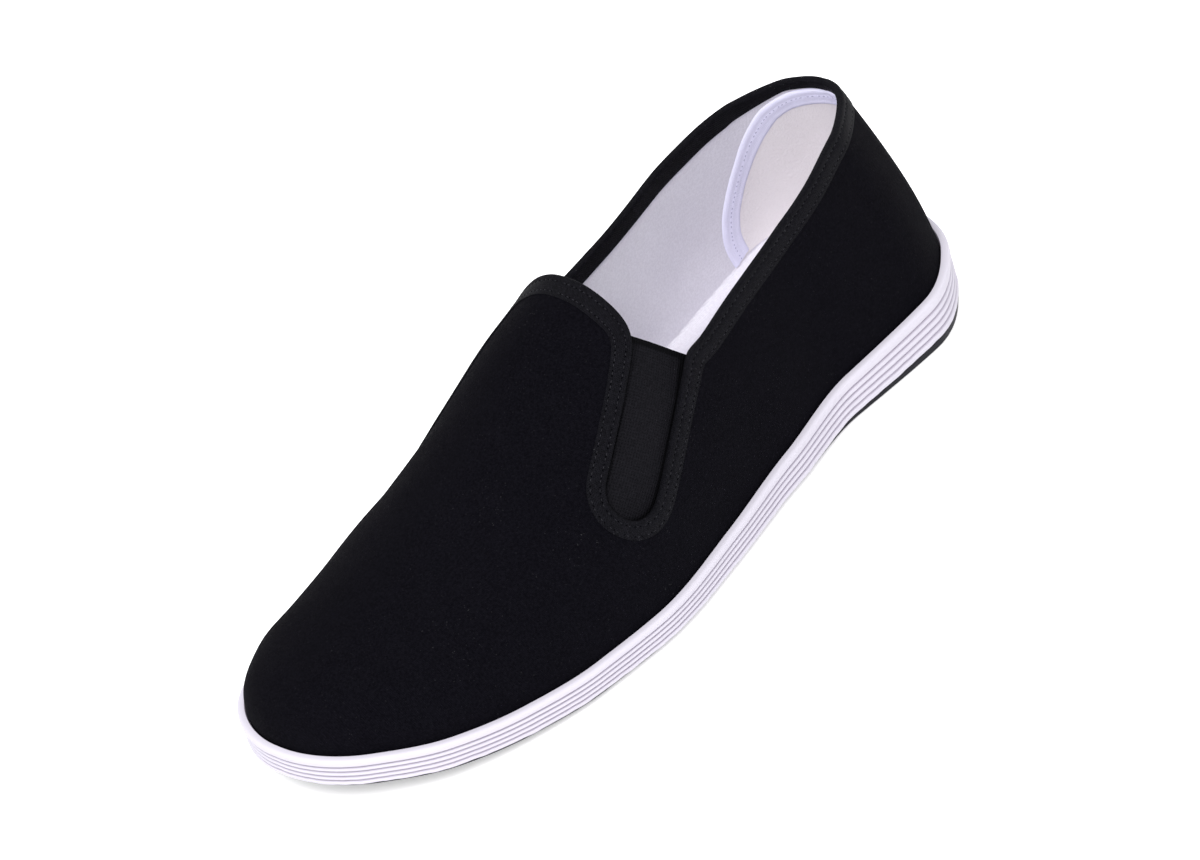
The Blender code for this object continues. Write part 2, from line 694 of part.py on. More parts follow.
def gore(name, side, finish):
    """One elastic panel behind a notch: rows across it, from its round foot to its mouth."""
    notch = Notch(side)
    radius = NOTCH_FOOT_RADIUS + GORE_MARGIN
    across = (notch.throat - notch.collar) / np.linalg.norm(notch.throat - notch.collar)
    a = notch.tangent(notch.throat + across * GORE_MARGIN, 1.0, radius)
    b = notch.tangent(notch.collar - across * GORE_MARGIN, -1.0, radius)
    front = notch.throat + across * GORE_MARGIN + notch.down * GORE_TOP_DROP
    back = notch.collar - across * GORE_MARGIN + notch.down * GORE_TOP_DROP
    start = np.arctan2(*(a - notch.foot)[::-1])
    sweep = np.mod(np.arctan2(*(b - notch.foot)[::-1]) - start, 2.0 * np.pi)
    pairs = []
    for share in (0.40, 0.30, 0.20, 0.10, 0.0):
        for_a, for_b = start + sweep * share, start + sweep * (1.0 - share)
        pairs.append((
            notch.foot + radius * np.array([np.cos(for_a), np.sin(for_a)]),
            notch.foot + radius * np.array([np.cos(for_b), np.sin(for_b)]),
        ))
    for share in np.linspace(0.0, 1.0, 7)[1:]:
        pairs.append((a + (front - a) * share, b + (back - b) * share))
    cells = 6
    high = -UPPER_WALL - 2.0 * TAPE_GAP - TAPE_THICKNESS
    shares = np.linspace(0.0, 1.0, cells + 1)[:, None]
    chart = np.concatenate([left + (right - left) * shares for left, right in pairs])
    top = chart_points(chart, side, high)
    bottom = chart_points(chart, side, high - GORE_THICKNESS)
    rows, wide = len(pairs), cells + 1
    faces = []
    for r in range(rows - 1):
        for i in range(cells):
            a0 = r * wide + i
            faces.append((a0, a0 + 1, a0 + wide + 1, a0 + wide))
    rim = [i for i in range(wide)]
    rim += [r * wide + cells for r in range(1, rows)]
    rim += [(rows - 1) * wide + i for i in range(cells - 1, -1, -1)]
    rim += [r * wide for r in range(rows - 2, 0, -1)]
    count = rows * wide
    all_faces = list(faces) + [tuple(p + count for p in face[::-1]) for face in faces]
    for k, p in enumerate(rim):
        q = rim[(k + 1) % len(rim)]
        all_faces.append((q, p, p + count, q + count))
    if side < 0:
        all_faces = [face[::-1] for face in all_faces]
    return add_piece(name, np.concatenate([top, bottom]), all_faces, finish)


def main():
    for thing in list(bpy.data.objects):
        bpy.data.objects.remove(thing)
    cotton = material("black_cotton", (0.012, 0.012, 0.016), 0.85)
    tape = material("black_tape", (0.022, 0.022, 0.028), 0.6)
    elastic = material("charcoal_elastic", (0.03, 0.03, 0.034), 0.8)
    white = material("white_rubber", (0.83, 0.81, 0.88), 0.5)
    black = material("black_rubber", (0.010, 0.011, 0.016), 0.55)
    lining = material("pale_lining", (0.60, 0.57, 0.62), 0.9)
    outsole(black)
    midsole(white)
    insole(lining)
    upper(cotton)
    binding(tape)
    gore("gore_lateral", 1.0, elastic)
    gore("gore_medial", -1.0, elastic)


main()
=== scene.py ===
# %% [markdown]
# # A black cloth slip-on shoe, dressed from its frame
# The shoe is a left one: a brushed cotton upper on a white moulded sole, with tape round the
# whole opening and an elastic gore in a slanting notch on each side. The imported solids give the
# places and sizes. This script lays the real surfaces over them: cloth, lining, tape, stitches,
# elastic, the ribbed white side and the tread. Every new piece is a numpy grid.

# %% Load the frame
import bpy
import numpy as np
from mathutils import Matrix, Vector


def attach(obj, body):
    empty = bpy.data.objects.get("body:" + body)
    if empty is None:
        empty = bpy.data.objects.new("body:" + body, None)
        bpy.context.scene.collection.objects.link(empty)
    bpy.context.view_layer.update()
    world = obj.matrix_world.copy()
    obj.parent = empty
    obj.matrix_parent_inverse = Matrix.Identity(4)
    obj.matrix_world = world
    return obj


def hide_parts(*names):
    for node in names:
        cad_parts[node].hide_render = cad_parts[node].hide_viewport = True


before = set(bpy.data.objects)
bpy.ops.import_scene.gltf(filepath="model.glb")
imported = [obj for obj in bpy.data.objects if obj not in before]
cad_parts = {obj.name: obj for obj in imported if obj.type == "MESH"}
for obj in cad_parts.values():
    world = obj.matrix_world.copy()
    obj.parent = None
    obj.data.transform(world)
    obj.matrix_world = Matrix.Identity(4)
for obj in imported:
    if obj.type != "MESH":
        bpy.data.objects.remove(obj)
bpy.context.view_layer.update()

print("nodes", sorted(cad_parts))

# %% [markdown]
# The last is the wooden foot that a shoe is made on. All cloth pieces of this shoe are offsets of
# one curved surface, so the script starts with that surface. Sizes are in millimetres, and each
# table row is one section across the last, with shares of the named sizes.

# %% Sizes of the last
MM = 0.001
LAST_LENGTH = 272.0
BALL_WIDTH = 95.0
HEEL_WIDTH = 70.0
INSTEP_HEIGHT = 72.3
BACK_HEIGHT = 58.4
HEEL_LEAN = 14.0
TOE_SPRING = 6.8
WALL = 1.6
TAPE_WIDTH = 6.4
THROAT_STATION = 0.514
THROAT_DEPTH = 1.4
THROAT_CORNER = 0.63
COLLAR_START = 0.553
NOTCH_LENGTH = 43.0
NOTCH_FOOT_RADIUS = 9.0
NOTCH_TURN = 1.8
FOXING_FRONT = 8.8
FOXING_HEEL = 15.3
FOXING_OUT = 2.6
GROUND_GAP_FRONT = 2.0
GROUND_GAP_HEEL = 4.2
TRAY_DEPTH = 5.0
SOLE_RIM = 1.6
SOLE_RECESS = 2.2
TREAD_DEPTH = 1.8
INSOLE_THICKNESS = 3.0
CLEARANCE = 0.3

SECTION_COLUMNS = (
    "station", "ball", "heel", "centre", "ridge_side", "ridge", "corner", "spring", "band", "lift",
)
SECTIONS = np.array((
    (0.00, 0.000, 0.000, -0.074, 0.000, 0.000, 2.20, 1.00, 0.05, 0.00),
    (0.04, 0.558, 0.000, -0.062, 0.004, 0.199, 2.18, 0.82, 0.04, 0.00),
    (0.10, 0.798, 0.000, -0.034, 0.011, 0.292, 2.15, 0.54, 0.02, 0.00),
    (0.18, 0.928, 0.000, -0.004, 0.019, 0.408, 2.10, 0.25, 0.00, 0.00),
    (0.27, 1.000, 0.000, 0.017, 0.028, 0.540, 2.06, 0.07, 0.00, 0.00),
    (0.36, 0.998, 0.000, 0.038, 0.033, 0.694, 2.10, 0.00, 0.02, 0.00),
    (0.50, 0.600, 0.352, 0.055, 0.038, 1.000, 2.24, 0.00, 0.17, 0.00),
    (0.62, 0.250, 0.666, 0.049, 0.042, 1.180, 2.21, 0.00, 0.37, 0.05),
    (0.75, 0.000, 0.940, 0.019, 0.026, 1.320, 2.07, 0.00, 0.58, 0.37),
    (0.88, 0.000, 1.000, 0.010, 0.013, 1.364, 1.41, 0.00, 0.80, 0.70),
    (0.96, 0.000, 0.711, 0.006, 0.004, 1.333, 1.18, 0.00, 0.93, 0.90),
    (1.00, 0.000, 0.000, 0.000, 0.000, 1.300, 1.13, 0.00, 1.00, 1.00),
))
COLLAR = np.array((
    (0.553, 0.865),
    (0.66, 0.905),
    (0.77, 0.975),
    (0.88, 1.025),
    (0.95, 1.020),
    (1.00, 1.000),
))
print("last", LAST_LENGTH, "mm long,", BALL_WIDTH, "mm at the ball")

# %% [markdown]
# A table becomes a smooth shape by reading each column as a curve. The curve is read over the
# "turn", an angle that is 0 at the toe and pi at the heel: equal turns crowd together at both
# ends, which makes the toe and the heel round without extra rows.

# %% Read the tables as curves
def turn_of(station):
    """Turn of a station: the arc cosine of one minus twice the station."""
    return np.arccos(np.clip(1.0 - 2.0 * np.asarray(station, float), -1.0, 1.0))

def station_of(turn):
    """The way back: the station of a turn."""
    return (1.0 - np.cos(turn)) / 2.0

def read_curve(xs, ys, at):
    """Cubics between the points. Each slope is the harmonic mean of the two steps beside it, or
    zero where they turn, so the curve never overshoots its points."""
    at = np.clip(at, xs[0], xs[-1])
    steps = np.diff(ys) / np.diff(xs)
    before, after = steps[:-1], steps[1:]
    safe = np.where(np.abs(before + after) < 1e-12, 1.0, before + after)
    middle = np.where(before * after > 0, 2.0 * before * after / safe, 0.0)
    slopes = np.concatenate([steps[:1], middle, steps[-1:]])
    i = np.clip(np.searchsorted(xs, at, side="right") - 1, 0, len(xs) - 2)
    width = xs[i + 1] - xs[i]
    t = (at - xs[i]) / width
    rise = (3.0 - 2.0 * t) * t * t
    bend = width * t * (1.0 - t) * (slopes[i] * (1.0 - t) - slopes[i + 1] * t)
    return ys[i] * (1.0 - rise) + ys[i + 1] * rise + bend

SECTION_TURNS = turn_of(SECTIONS[:, 0])

def column(name, turn):
    return read_curve(SECTION_TURNS, SECTIONS[:, SECTION_COLUMNS.index(name)], turn)

def ground(turn):
    return column("spring", turn) * TOE_SPRING

def foxing_bottom(turn):
    growth = column("lift", turn)
    return ground(turn) + GROUND_GAP_FRONT + growth * (GROUND_GAP_HEEL - GROUND_GAP_FRONT)

def foxing_height(turn):
    return FOXING_FRONT + column("band", turn) * (FOXING_HEEL - FOXING_FRONT)

def feather(turn):
    """Height of the feather line, where cloth meets the top edge of the foxing."""
    return foxing_bottom(turn) + foxing_height(turn)

def half_width(turn):
    return (column("ball", turn) * BALL_WIDTH + column("heel", turn) * HEEL_WIDTH) / 2.0

def centre_side(turn):
    return column("centre", turn) * BALL_WIDTH

def unit(vectors):
    return vectors / np.maximum(np.linalg.norm(vectors, axis=-1, keepdims=True), 1e-12)

def run_along(points):
    """Arc length from the first point of a line to each of its points."""
    return np.concatenate([[0.0], np.cumsum(np.linalg.norm(np.diff(points, axis=0), axis=-1))])

def own(quarter, side):
    """A quarter counted from the feather line of its own side, which is +1 or -1."""
    return np.where(np.asarray(side) > 0, quarter, np.pi - quarter)

def fold(turn):
    """A turn that runs on past the heel, folded to one side: the turn, and +1 or -1."""
    turn = np.mod(turn, 2.0 * np.pi)
    medial = turn > np.pi
    return np.where(medial, 2.0 * np.pi - turn, turn), np.where(medial, -1.0, 1.0)

def outline(turns, out):
    """The feather line from above, moved out along its own normal, as x and y."""
    def plan(at):
        one, side = fold(at)
        x = centre_side(one) + side * half_width(one)
        return np.stack([x, -np.cos(one) * LAST_LENGTH / 2.0], axis=-1)

    along = plan(turns + 0.02) - plan(turns - 0.02)
    normal = unit(np.stack([along[..., 1], -along[..., 0]], axis=-1))
    return plan(turns) + np.asarray(out)[..., None] * normal

CAD_COLUMNS = 72
rim = outline(np.arange(CAD_COLUMNS) * 2.0 * np.pi / CAD_COLUMNS, FOXING_OUT)
SHIFT = np.array([-(rim[:, 0].max() + rim[:, 0].min()) / 2.0, 0.0, 0.0])
print("the frame lies", np.round(SHIFT[0], 2), "mm to the side of the last's own axis")

# %% [markdown]
# The upper's surface is a stack of superellipses. Its two parameters are the turn and the
# "quarter", an angle over the section from 0 on the outer feather line to pi on the inner one.
# A real upper isn't so even: cloth dips behind the stiffened toe, bends across the ball and
# gathers a little above the sole. Those forms are chosen as soft troughs and ridges.

# %% The surface of the last
LEAN_STATION = 0.75
HOLLOWS = (
    # station and quarter of the middle, length, width, slant and depth of: toe cap edge, ball
    # creases, hollows beside the instep, under the ankle, at the throat's corner and the heel
    (0.205, 1.45, 0.026, 1.20, 0.00, -0.30),
    (0.105, 2.66, 0.030, 0.35, 0.00, 0.80),
    (0.325, 1.05, 0.014, 0.60, 0.05, -0.28),
    (0.352, 1.10, 0.016, 0.55, 0.06, 0.20),
    (0.380, 2.05, 0.014, 0.50, -0.05, -0.26),
    (0.300, 2.30, 0.016, 0.40, -0.04, -0.22),
    (0.455, 0.75, 0.032, 0.30, 0.02, 0.25),
    (0.455, 2.40, 0.032, 0.30, -0.02, 0.25),
    (0.400, 0.22, 0.045, 0.16, 0.00, -0.30),
    (0.620, 0.34, 0.060, 0.26, 0.00, -0.60),
    (0.640, 2.80, 0.070, 0.28, 0.00, -0.60),
    (0.780, 0.20, 0.050, 0.14, 0.03, 0.25),
    (0.800, 2.95, 0.050, 0.14, -0.03, 0.25),
    (0.505, 2.02, 0.040, 0.38, 0.00, -1.15),
    (0.900, 0.50, 0.030, 0.20, 0.00, -0.30),
    (0.900, 2.64, 0.030, 0.20, 0.00, -0.30),
)
WAVES = (
    # wave number along, over, phase and height in millimetres of the cloth's faint unevenness
    (31.0, 5.0, 0.4, 0.04),
    (17.0, -9.0, 1.9, 0.05),
    (53.0, 11.0, 3.1, 0.03),
    (23.0, 14.0, 5.0, 0.03),
)

def relief(turn, quarter):
    """Height of the cloth over the plain last: a sum of soft bumps, each a Gaussian of the
    distance from its middle in station and quarter, and of four faint waves. It fades to zero at
    the feather line."""
    turn, hand = fold(turn)
    quarter = own(quarter, hand)
    station = station_of(turn)
    total = np.zeros(np.broadcast(turn, quarter).shape)
    for middle, angle, length, width, slant, depth in HOLLOWS:
        across = (quarter - angle) / width
        along = (station - middle - slant * (quarter - angle)) / length
        total = total + depth * np.exp(-across**2 - along**2)
    for along, over, phase, height in WAVES:
        total = total + height * np.sin(along * station + over * quarter + phase)
    edge = np.minimum(quarter, np.pi - quarter)
    return total * np.clip(edge / 0.12, 0.0, 1.0) ** 2

def last_point(turn, quarter):
    """x runs from the ridge to the feather line as |cos q| to the power 2/corner, and z rises
    as |sin q| to the same power. The back of the heel leans forward with its height. A turn that
    runs past the heel goes on over the inner side, with the quarter from its feather line."""
    turn, hand = fold(turn)
    quarter = own(quarter, hand)
    half, centre = half_width(turn), centre_side(turn)
    power = 2.0 / column("corner", turn)
    top_side = centre - column("ridge_side", turn) * BALL_WIDTH
    across = np.cos(quarter)
    side = np.where(across >= 0.0, centre + half, centre - half)
    x = top_side + (side - top_side) * np.abs(across) ** power
    rise = column("ridge", turn) * INSTEP_HEIGHT * np.abs(np.sin(quarter)) ** power
    station = station_of(turn)
    behind = np.clip((station - LEAN_STATION) / (1.0 - LEAN_STATION), 0.0, 1.0) ** 2
    lean = behind * HEEL_LEAN * np.clip(rise / BACK_HEIGHT, 0.0, 1.6) ** 1.5
    y = (station - 0.5) * LAST_LENGTH - lean
    return np.stack([x, y, feather(turn) + rise], axis=-1)

def last_normal(turn, quarter):
    """Outward normal: the cross product of the two tangents, by central differences."""
    step = 0.012
    turn = np.clip(turn, 0.035, 2.0 * np.pi - 0.035)
    quarter = np.clip(quarter, 0.03, np.pi - 0.03)
    along = last_point(turn + step, quarter) - last_point(turn - step, quarter)
    over = last_point(turn, quarter + step) - last_point(turn, quarter - step)
    return unit(np.cross(along, over))

def skin(turn, quarter, out):
    """A point of the cloth, out millimetres over the outer face (negative is inside)."""
    raised = relief(turn, quarter) + np.asarray(out)
    return last_point(turn, quarter) + raised[..., None] * last_normal(turn, quarter)

print("toe tip", np.round(skin(np.array(0.0), np.array(1.0), 0.0), 1))

# %% [markdown]
# Cutting and sewing are thought out on flat cloth, so the notch is drawn in a flat chart: length
# along the last, and girth measured up the section. The chart is filled once as a table of arc
# lengths and then read both ways.

# %% The chart of the cloth
CHART_TURNS = np.linspace(0.0, np.pi, 241)
CHART_QUARTERS = np.linspace(0.0, np.pi, 181)
chart_points = last_point(*np.meshgrid(CHART_TURNS, CHART_QUARTERS, indexing="ij"))
chart_steps = np.linalg.norm(np.diff(chart_points, axis=1), axis=-1)
GIRTHS = np.concatenate([np.zeros((len(CHART_TURNS), 1)), np.cumsum(chart_steps, axis=1)], axis=1)
chart_steps = np.linalg.norm(np.diff(chart_points, axis=0), axis=-1)
LENGTHS = np.concatenate([np.zeros((1, len(CHART_QUARTERS))), np.cumsum(chart_steps, axis=0)])

def read_chart(table, turn, quarter):
    """A table of the chart at any turn and quarter, bilinear between its cells."""
    a = np.clip(turn / np.pi, 0.0, 1.0) * (len(CHART_TURNS) - 1)
    b = np.clip(quarter / np.pi, 0.0, 1.0) * (len(CHART_QUARTERS) - 1)
    i = np.minimum(a.astype(int), len(CHART_TURNS) - 2)
    j = np.minimum(b.astype(int), len(CHART_QUARTERS) - 2)
    s, t = a - i, b - j
    low = table[i, j] * (1 - s) + table[i + 1, j] * s
    high = table[i, j + 1] * (1 - s) + table[i + 1, j + 1] * s
    return low * (1 - t) + high * t

def girth(turn, quarter):
    """Arc length over the section, from the lateral feather line."""
    return read_chart(GIRTHS, turn, quarter)

def cloth_uv(turn, quarter):
    """Lengths in metres over the cloth: from the toe, and to either side of the ridge."""
    ridge = girth(turn, turn * 0.0 + np.pi / 2.0)
    return np.stack([read_chart(LENGTHS, turn, quarter), girth(turn, quarter) - ridge], axis=-1) * MM

def to_chart(turn, quarter, side):
    """Chart coordinates. The medial side counts its girth from its own feather line."""
    turn, quarter = np.asarray(turn, float), np.asarray(quarter, float)
    length = station_of(turn) * LAST_LENGTH
    up = girth(turn, quarter)
    return np.stack([length, up if side > 0 else girth(turn, turn * 0 + np.pi) - up], axis=-1)

def from_chart(chart, side):
    """Turn and quarter of chart points: the girth table of each section is searched by halving
    the range thirty times, for all points at once."""
    turn = turn_of(chart[..., 0] / LAST_LENGTH)
    goal = chart[..., 1]
    low, high = np.zeros_like(turn), np.full_like(turn, np.pi)
    for _ in range(30):
        middle = (low + high) / 2.0
        far = to_chart(turn, own(middle, side), side)[..., 1] > goal
        low, high = np.where(far, low, middle), np.where(far, middle, high)
    middle = (low + high) / 2.0
    return turn, own(middle, side)

print("girth over the ball", np.round(girth(turn_of(0.36), np.array(np.pi))), "mm")

# %% [markdown]
# The throat, the notch and the collar bound the opening. The notch is a slot with a round foot
# that slants back from the throat's corner. In the chart it is two tangents and an arc.

# %% Throat, notch and collar
def collar_quarter(turn):
    height = BACK_HEIGHT * read_curve(turn_of(COLLAR[:, 0]), COLLAR[:, 1], turn)
    share = np.clip(height / (column("ridge", turn) * INSTEP_HEIGHT), 0.0, 0.98)
    return np.arcsin(share ** (column("corner", turn) / 2.0))

def throat_turn(quarter):
    share = np.clip((quarter * 2.0 / np.pi - THROAT_CORNER) / (1.0 - THROAT_CORNER), 0.0, 1.0)
    return turn_of(THROAT_STATION + THROAT_DEPTH / LAST_LENGTH * np.sin(share * np.pi / 2.0))

COLLAR_TURN = float(turn_of(COLLAR_START))
NOTCH_TOP = THROAT_CORNER * np.pi / 2.0

def spun(vector, angle):
    """A vector in the plane, turned by an angle."""
    cosine, sine = np.cos(angle), np.sin(angle)
    return np.array([[cosine, -sine], [sine, cosine]]) @ vector

class Notch:
    """The slot for the gore in the chart: two straight sides tangent to a round foot."""

    def __init__(self, side):
        start = collar_quarter(np.array(COLLAR_TURN))
        self.throat = to_chart(throat_turn(NOTCH_TOP), own(NOTCH_TOP, side), side)
        self.collar = to_chart(COLLAR_TURN, own(start, side), side)
        mouth = self.throat - self.collar
        self.across = mouth / np.linalg.norm(mouth)
        self.down = spun(np.array([-self.across[1], self.across[0]]), np.radians(NOTCH_TURN))
        self.foot = (self.throat + self.collar) / 2.0 + self.down * NOTCH_LENGTH

    def tangent(self, corner, sign, radius):
        away = corner - self.foot
        distance = np.linalg.norm(away)
        lean = sign * np.arccos(min(radius / distance, 1.0))
        return self.foot + spun(away / distance, lean) * radius

    def outline(self, straight, rounds, margin=0.0):
        """From the throat corner down, round the foot and up to the collar's start."""
        radius = NOTCH_FOOT_RADIUS + margin
        front, back = self.throat + self.across * margin, self.collar - self.across * margin
        a, b = self.tangent(front, 1.0, radius), self.tangent(back, -1.0, radius)
        start = np.arctan2(*(a - self.foot)[::-1])
        sweep = np.mod(np.arctan2(*(b - self.foot)[::-1]) - start, 2.0 * np.pi)
        angles = start + sweep * np.linspace(0.0, 1.0, rounds + 1)
        arc = self.foot + radius * np.column_stack([np.cos(angles), np.sin(angles)])
        ahead = np.linspace(0.0, 1.0, straight, endpoint=False)[:, None]
        after = np.linspace(0.0, 1.0, straight + 1)[1:, None]
        return np.concatenate([front + (a - front) * ahead, arc, b + (back - b) * after])

NOTCHES = {1.0: Notch(1.0), -1.0: Notch(-1.0)}
print("notch mouth", np.round(np.linalg.norm(NOTCHES[1.0].throat - NOTCHES[1.0].collar), 1), "mm")

# %% [markdown]
# The camera stands where the photographer stood: low over the outer side of the toe, far away
# with a long lens, and rolled so that the shoe runs up the picture. It aims at the middle of
# the shoe as it is seen from there, so the one shoe fills the frame.

# %% Camera
CAMERA_AZIMUTH = 37.04
CAMERA_ELEVATION = 34.86
CAMERA_ROLL = -18.25
CAMERA_DISTANCE = 1755.7
CAMERA_LENS = 180.7
AIM = np.array([1.5, 0.5, 33.8]) + SHIFT

def add_camera():
    """A camera at the azimuth and elevation, turned by the roll about its line of sight."""
    az, el, roll = np.radians([CAMERA_AZIMUTH, CAMERA_ELEVATION, CAMERA_ROLL])
    back = np.array([np.cos(az) * np.cos(el), -np.sin(az) * np.cos(el), np.sin(el)])
    level = unit(np.cross(-back, [0.0, 0.0, 1.0]))
    upright = np.cross(level, -back)
    right = np.cos(roll) * level + np.sin(roll) * upright
    up = -np.sin(roll) * level + np.cos(roll) * upright
    place = AIM + back * CAMERA_DISTANCE
    data = bpy.data.cameras.new("camera")
    data.lens = CAMERA_LENS
    data.clip_end = 20.0
    camera = bpy.data.objects.new("camera", data)
    rows = np.column_stack([right, up, back, place * MM])
    camera.matrix_world = Matrix([*rows.tolist(), [0.0, 0.0, 0.0, 1.0]])
    bpy.context.collection.objects.link(camera)
    bpy.context.scene.camera = camera
    return place

print("camera at", np.round(add_camera()), "mm")

# %% [markdown]
# Black cloth shows its form only by soft reflections, so the light is broad: a big panel above
# and behind, a second one from the camera's left, and a bright even surround. The floor is a
# pale sheet that fades to white.

# %% Floor and light
FLOOR_HALF = 3.0
FLOOR_COLOUR = (0.85, 0.85, 0.855, 1.0)
FLOOR_GLOW = 0.45
SKY_COLOUR = (0.97, 0.97, 1.0, 1.0)
SKY_STRENGTH = 0.95
LIGHT_AIM = (0.0, 0.0, 0.04)
LIGHTS = (
    # name, place in metres, side of the square, watts and colour
    ("key_panel", (0.8, -0.85, 1.7), 1.1, 40.0, (1.0, 0.99, 0.98)),
    ("left_panel", (-1.2, -0.6, 1.2), 1.2, 8.0, (0.97, 0.97, 1.0)),
    ("back_panel", (0.3, 1.6, 1.0), 1.0, 1.5, (1.0, 1.0, 1.0)),
)

def add_floor():
    """A square sheet of paper that glows a little, so that it fades to white."""
    half = FLOOR_HALF
    mesh = bpy.data.meshes.new("floor")
    corners = [(-half, -half, 0.0), (half, -half, 0.0), (half, half, 0.0), (-half, half, 0.0)]
    mesh.from_pydata(corners, [], [(0, 1, 2, 3)])
    paint = bpy.data.materials.new("floor_paper")
    paint.use_nodes = True
    shader = paint.node_tree.nodes["Principled BSDF"]
    for label, value in (("Base Color", FLOOR_COLOUR), ("Emission Color", (1.0, 1.0, 1.0, 1.0)),
                         ("Emission Strength", FLOOR_GLOW), ("Roughness", 0.9),
                         ("Specular IOR Level", 0.1)):
        shader.inputs[label].default_value = value
    mesh.materials.append(paint)
    floor = bpy.data.objects.new("floor", mesh)
    bpy.context.collection.objects.link(floor)

def add_light():
    """The even surround, and the panels, each turned to face the shoe."""
    world = bpy.data.worlds.new("studio")
    world.use_nodes = True
    sky = world.node_tree.nodes["Background"]
    sky.inputs["Color"].default_value = SKY_COLOUR
    sky.inputs["Strength"].default_value = SKY_STRENGTH
    bpy.context.scene.world = world
    for name, place, size, watts, colour in LIGHTS:
        data = bpy.data.lights.new(name, "AREA")
        data.size, data.energy, data.color = size, watts, colour
        light = bpy.data.objects.new(name, data)
        light.location = place
        ahead = Vector(LIGHT_AIM) - Vector(place)
        light.rotation_euler = ahead.to_track_quat("-Z", "Y").to_euler()
        bpy.context.collection.objects.link(light)
    view = bpy.context.scene.view_settings
    view.view_transform = "Standard"
    view.look = "None"
    view.exposure = 0.0

add_floor()
add_light()
print("floor and light set")

# %% [markdown]
# One helper turns arrays into meshes. A grid of points gives its quads by index arithmetic, and
# a shell doubles a sheet into a thin closed solid: front faces, back faces turned round, and a
# strip along every edge that only one face uses.

# %% Mesh helpers
def cells(grid, flip=False):
    """The four corners of every cell of a grid, whatever the grid holds. With flip they run
    the other way round, which turns a face over."""
    corners = (grid[:-1, :-1], grid[:-1, 1:], grid[1:, 1:], grid[1:, :-1])
    stacked = np.stack(corners[::-1] if flip else corners, axis=2)
    return stacked.reshape(-1, 4, *grid.shape[2:])

def numbered(rows, columns, wrap=False):
    """Point numbers of a grid, row by row. With wrap the first column comes again at the end."""
    index = np.arange(rows * columns).reshape(rows, columns)
    return np.concatenate([index, index[:, :1]], axis=1) if wrap else index

def cap(start, count, up=True):
    """Strips across a ring of points that starts at a number, from its toe to its heel."""
    i = np.arange(count // 2)
    corners = (i, i + 1, (count - i - 1) % count, (count - i) % count)
    return start + np.stack(corners if up else corners[::-1], axis=-1)

def build(name, points, quads, material, corner_uv=None, smooth_angle=40.0, mask=None):
    """Writes points in millimetres and quads to a mesh object at the origin. Points that fall
    together are joined first, and the quads that this closes become triangles or go. A mask is
    a value for each point that the material reads back as an attribute."""
    points = np.asarray(points, float) + SHIFT
    rounded, first, number = np.unique(
        np.round(points, 4), axis=0, return_index=True, return_inverse=True
    )
    quads = number.reshape(-1)[np.asarray(quads)]
    keep = quads != np.roll(quads, 1, axis=1)
    real = keep.sum(1) > 2
    quads, keep = quads[real], keep[real]
    counts = keep.sum(1)
    mesh = bpy.data.meshes.new(name)
    mesh.vertices.add(len(rounded))
    mesh.vertices.foreach_set("co", (rounded * MM).astype(np.float32).ravel())
    mesh.loops.add(int(counts.sum()))
    mesh.loops.foreach_set("vertex_index", quads[keep].astype(np.int32))
    mesh.polygons.add(len(quads))
    starts = np.concatenate([[0], np.cumsum(counts)[:-1]])
    mesh.polygons.foreach_set("loop_start", starts.astype(np.int32))
    mesh.polygons.foreach_set("loop_total", counts.astype(np.int32))
    mesh.update(calc_edges=True)
    if corner_uv is not None:
        layer = mesh.uv_layers.new(name="cloth")
        layer.data.foreach_set("uv", np.asarray(corner_uv)[real][keep].astype(np.float32).ravel())
    if mask is not None:
        values = mesh.attributes.new("mask", "FLOAT", "POINT")
        values.data.foreach_set("value", np.asarray(mask, np.float32).ravel()[first])
    mesh.validate()
    mesh.shade_smooth()
    mesh.set_sharp_from_angle(angle=np.radians(smooth_angle))
    mesh.materials.append(material)
    piece = bpy.data.objects.new(name, mesh)
    bpy.context.collection.objects.link(piece)
    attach(piece, "root")
    print(name, len(rounded), "points,", int((counts - 2).sum()), "triangles")
    return piece

def shell(name, front, back, quads, material, corner_uv=None, smooth_angle=40.0, mask=None):
    """A closed thin solid from two matching sets of points and the quads of its front. Its side
    walls stand on the edges that only one quad uses. Fronts that share a point share it here."""
    same = np.unique(np.round(front, 4), axis=0, return_index=True, return_inverse=True)
    quads = same[2].reshape(-1)[quads]
    front, back = front[same[1]], back[same[1]]
    if mask is not None:
        mask = np.tile(np.asarray(mask).ravel()[same[1]], 2)
    count = len(front)
    tail, head = quads, np.roll(quads, -1, axis=1)
    lonely = (tail != head) & ~np.isin(tail * count + head, head * count + tail)
    a, b = tail[lonely], head[lonely]
    sides = np.stack([b, a, a + count, b + count], axis=-1)
    faces = np.concatenate([quads, quads[:, ::-1] + count, sides])
    if corner_uv is not None:
        side_uv = np.repeat(corner_uv[lonely][:, None, :], 4, axis=1)
        corner_uv = np.concatenate([corner_uv, corner_uv[:, ::-1], side_uv])
    points = np.concatenate([front, back])
    return build(name, points, faces, material, corner_uv, smooth_angle, mask)

def grid_shell(name, front, back, material, uv, flip=False, smooth_angle=40.0, mask=None):
    """A shell whose front and back are grids of points. With flip the grid faces the other way."""
    quads = cells(numbered(*front.shape[:2]), flip)
    return shell(name, front.reshape(-1, 3), back.reshape(-1, 3), quads, material,
                 cells(uv, flip), smooth_angle, mask)

print("helpers ready")

# %% [markdown]
# Cloth needs three effects that several materials share, so each is a node group: a weave that
# gives the height of its threads, lint that gives a mask of specks, and a slow unevenness of
# tone. A group holds maths only; the shader stays in the material.

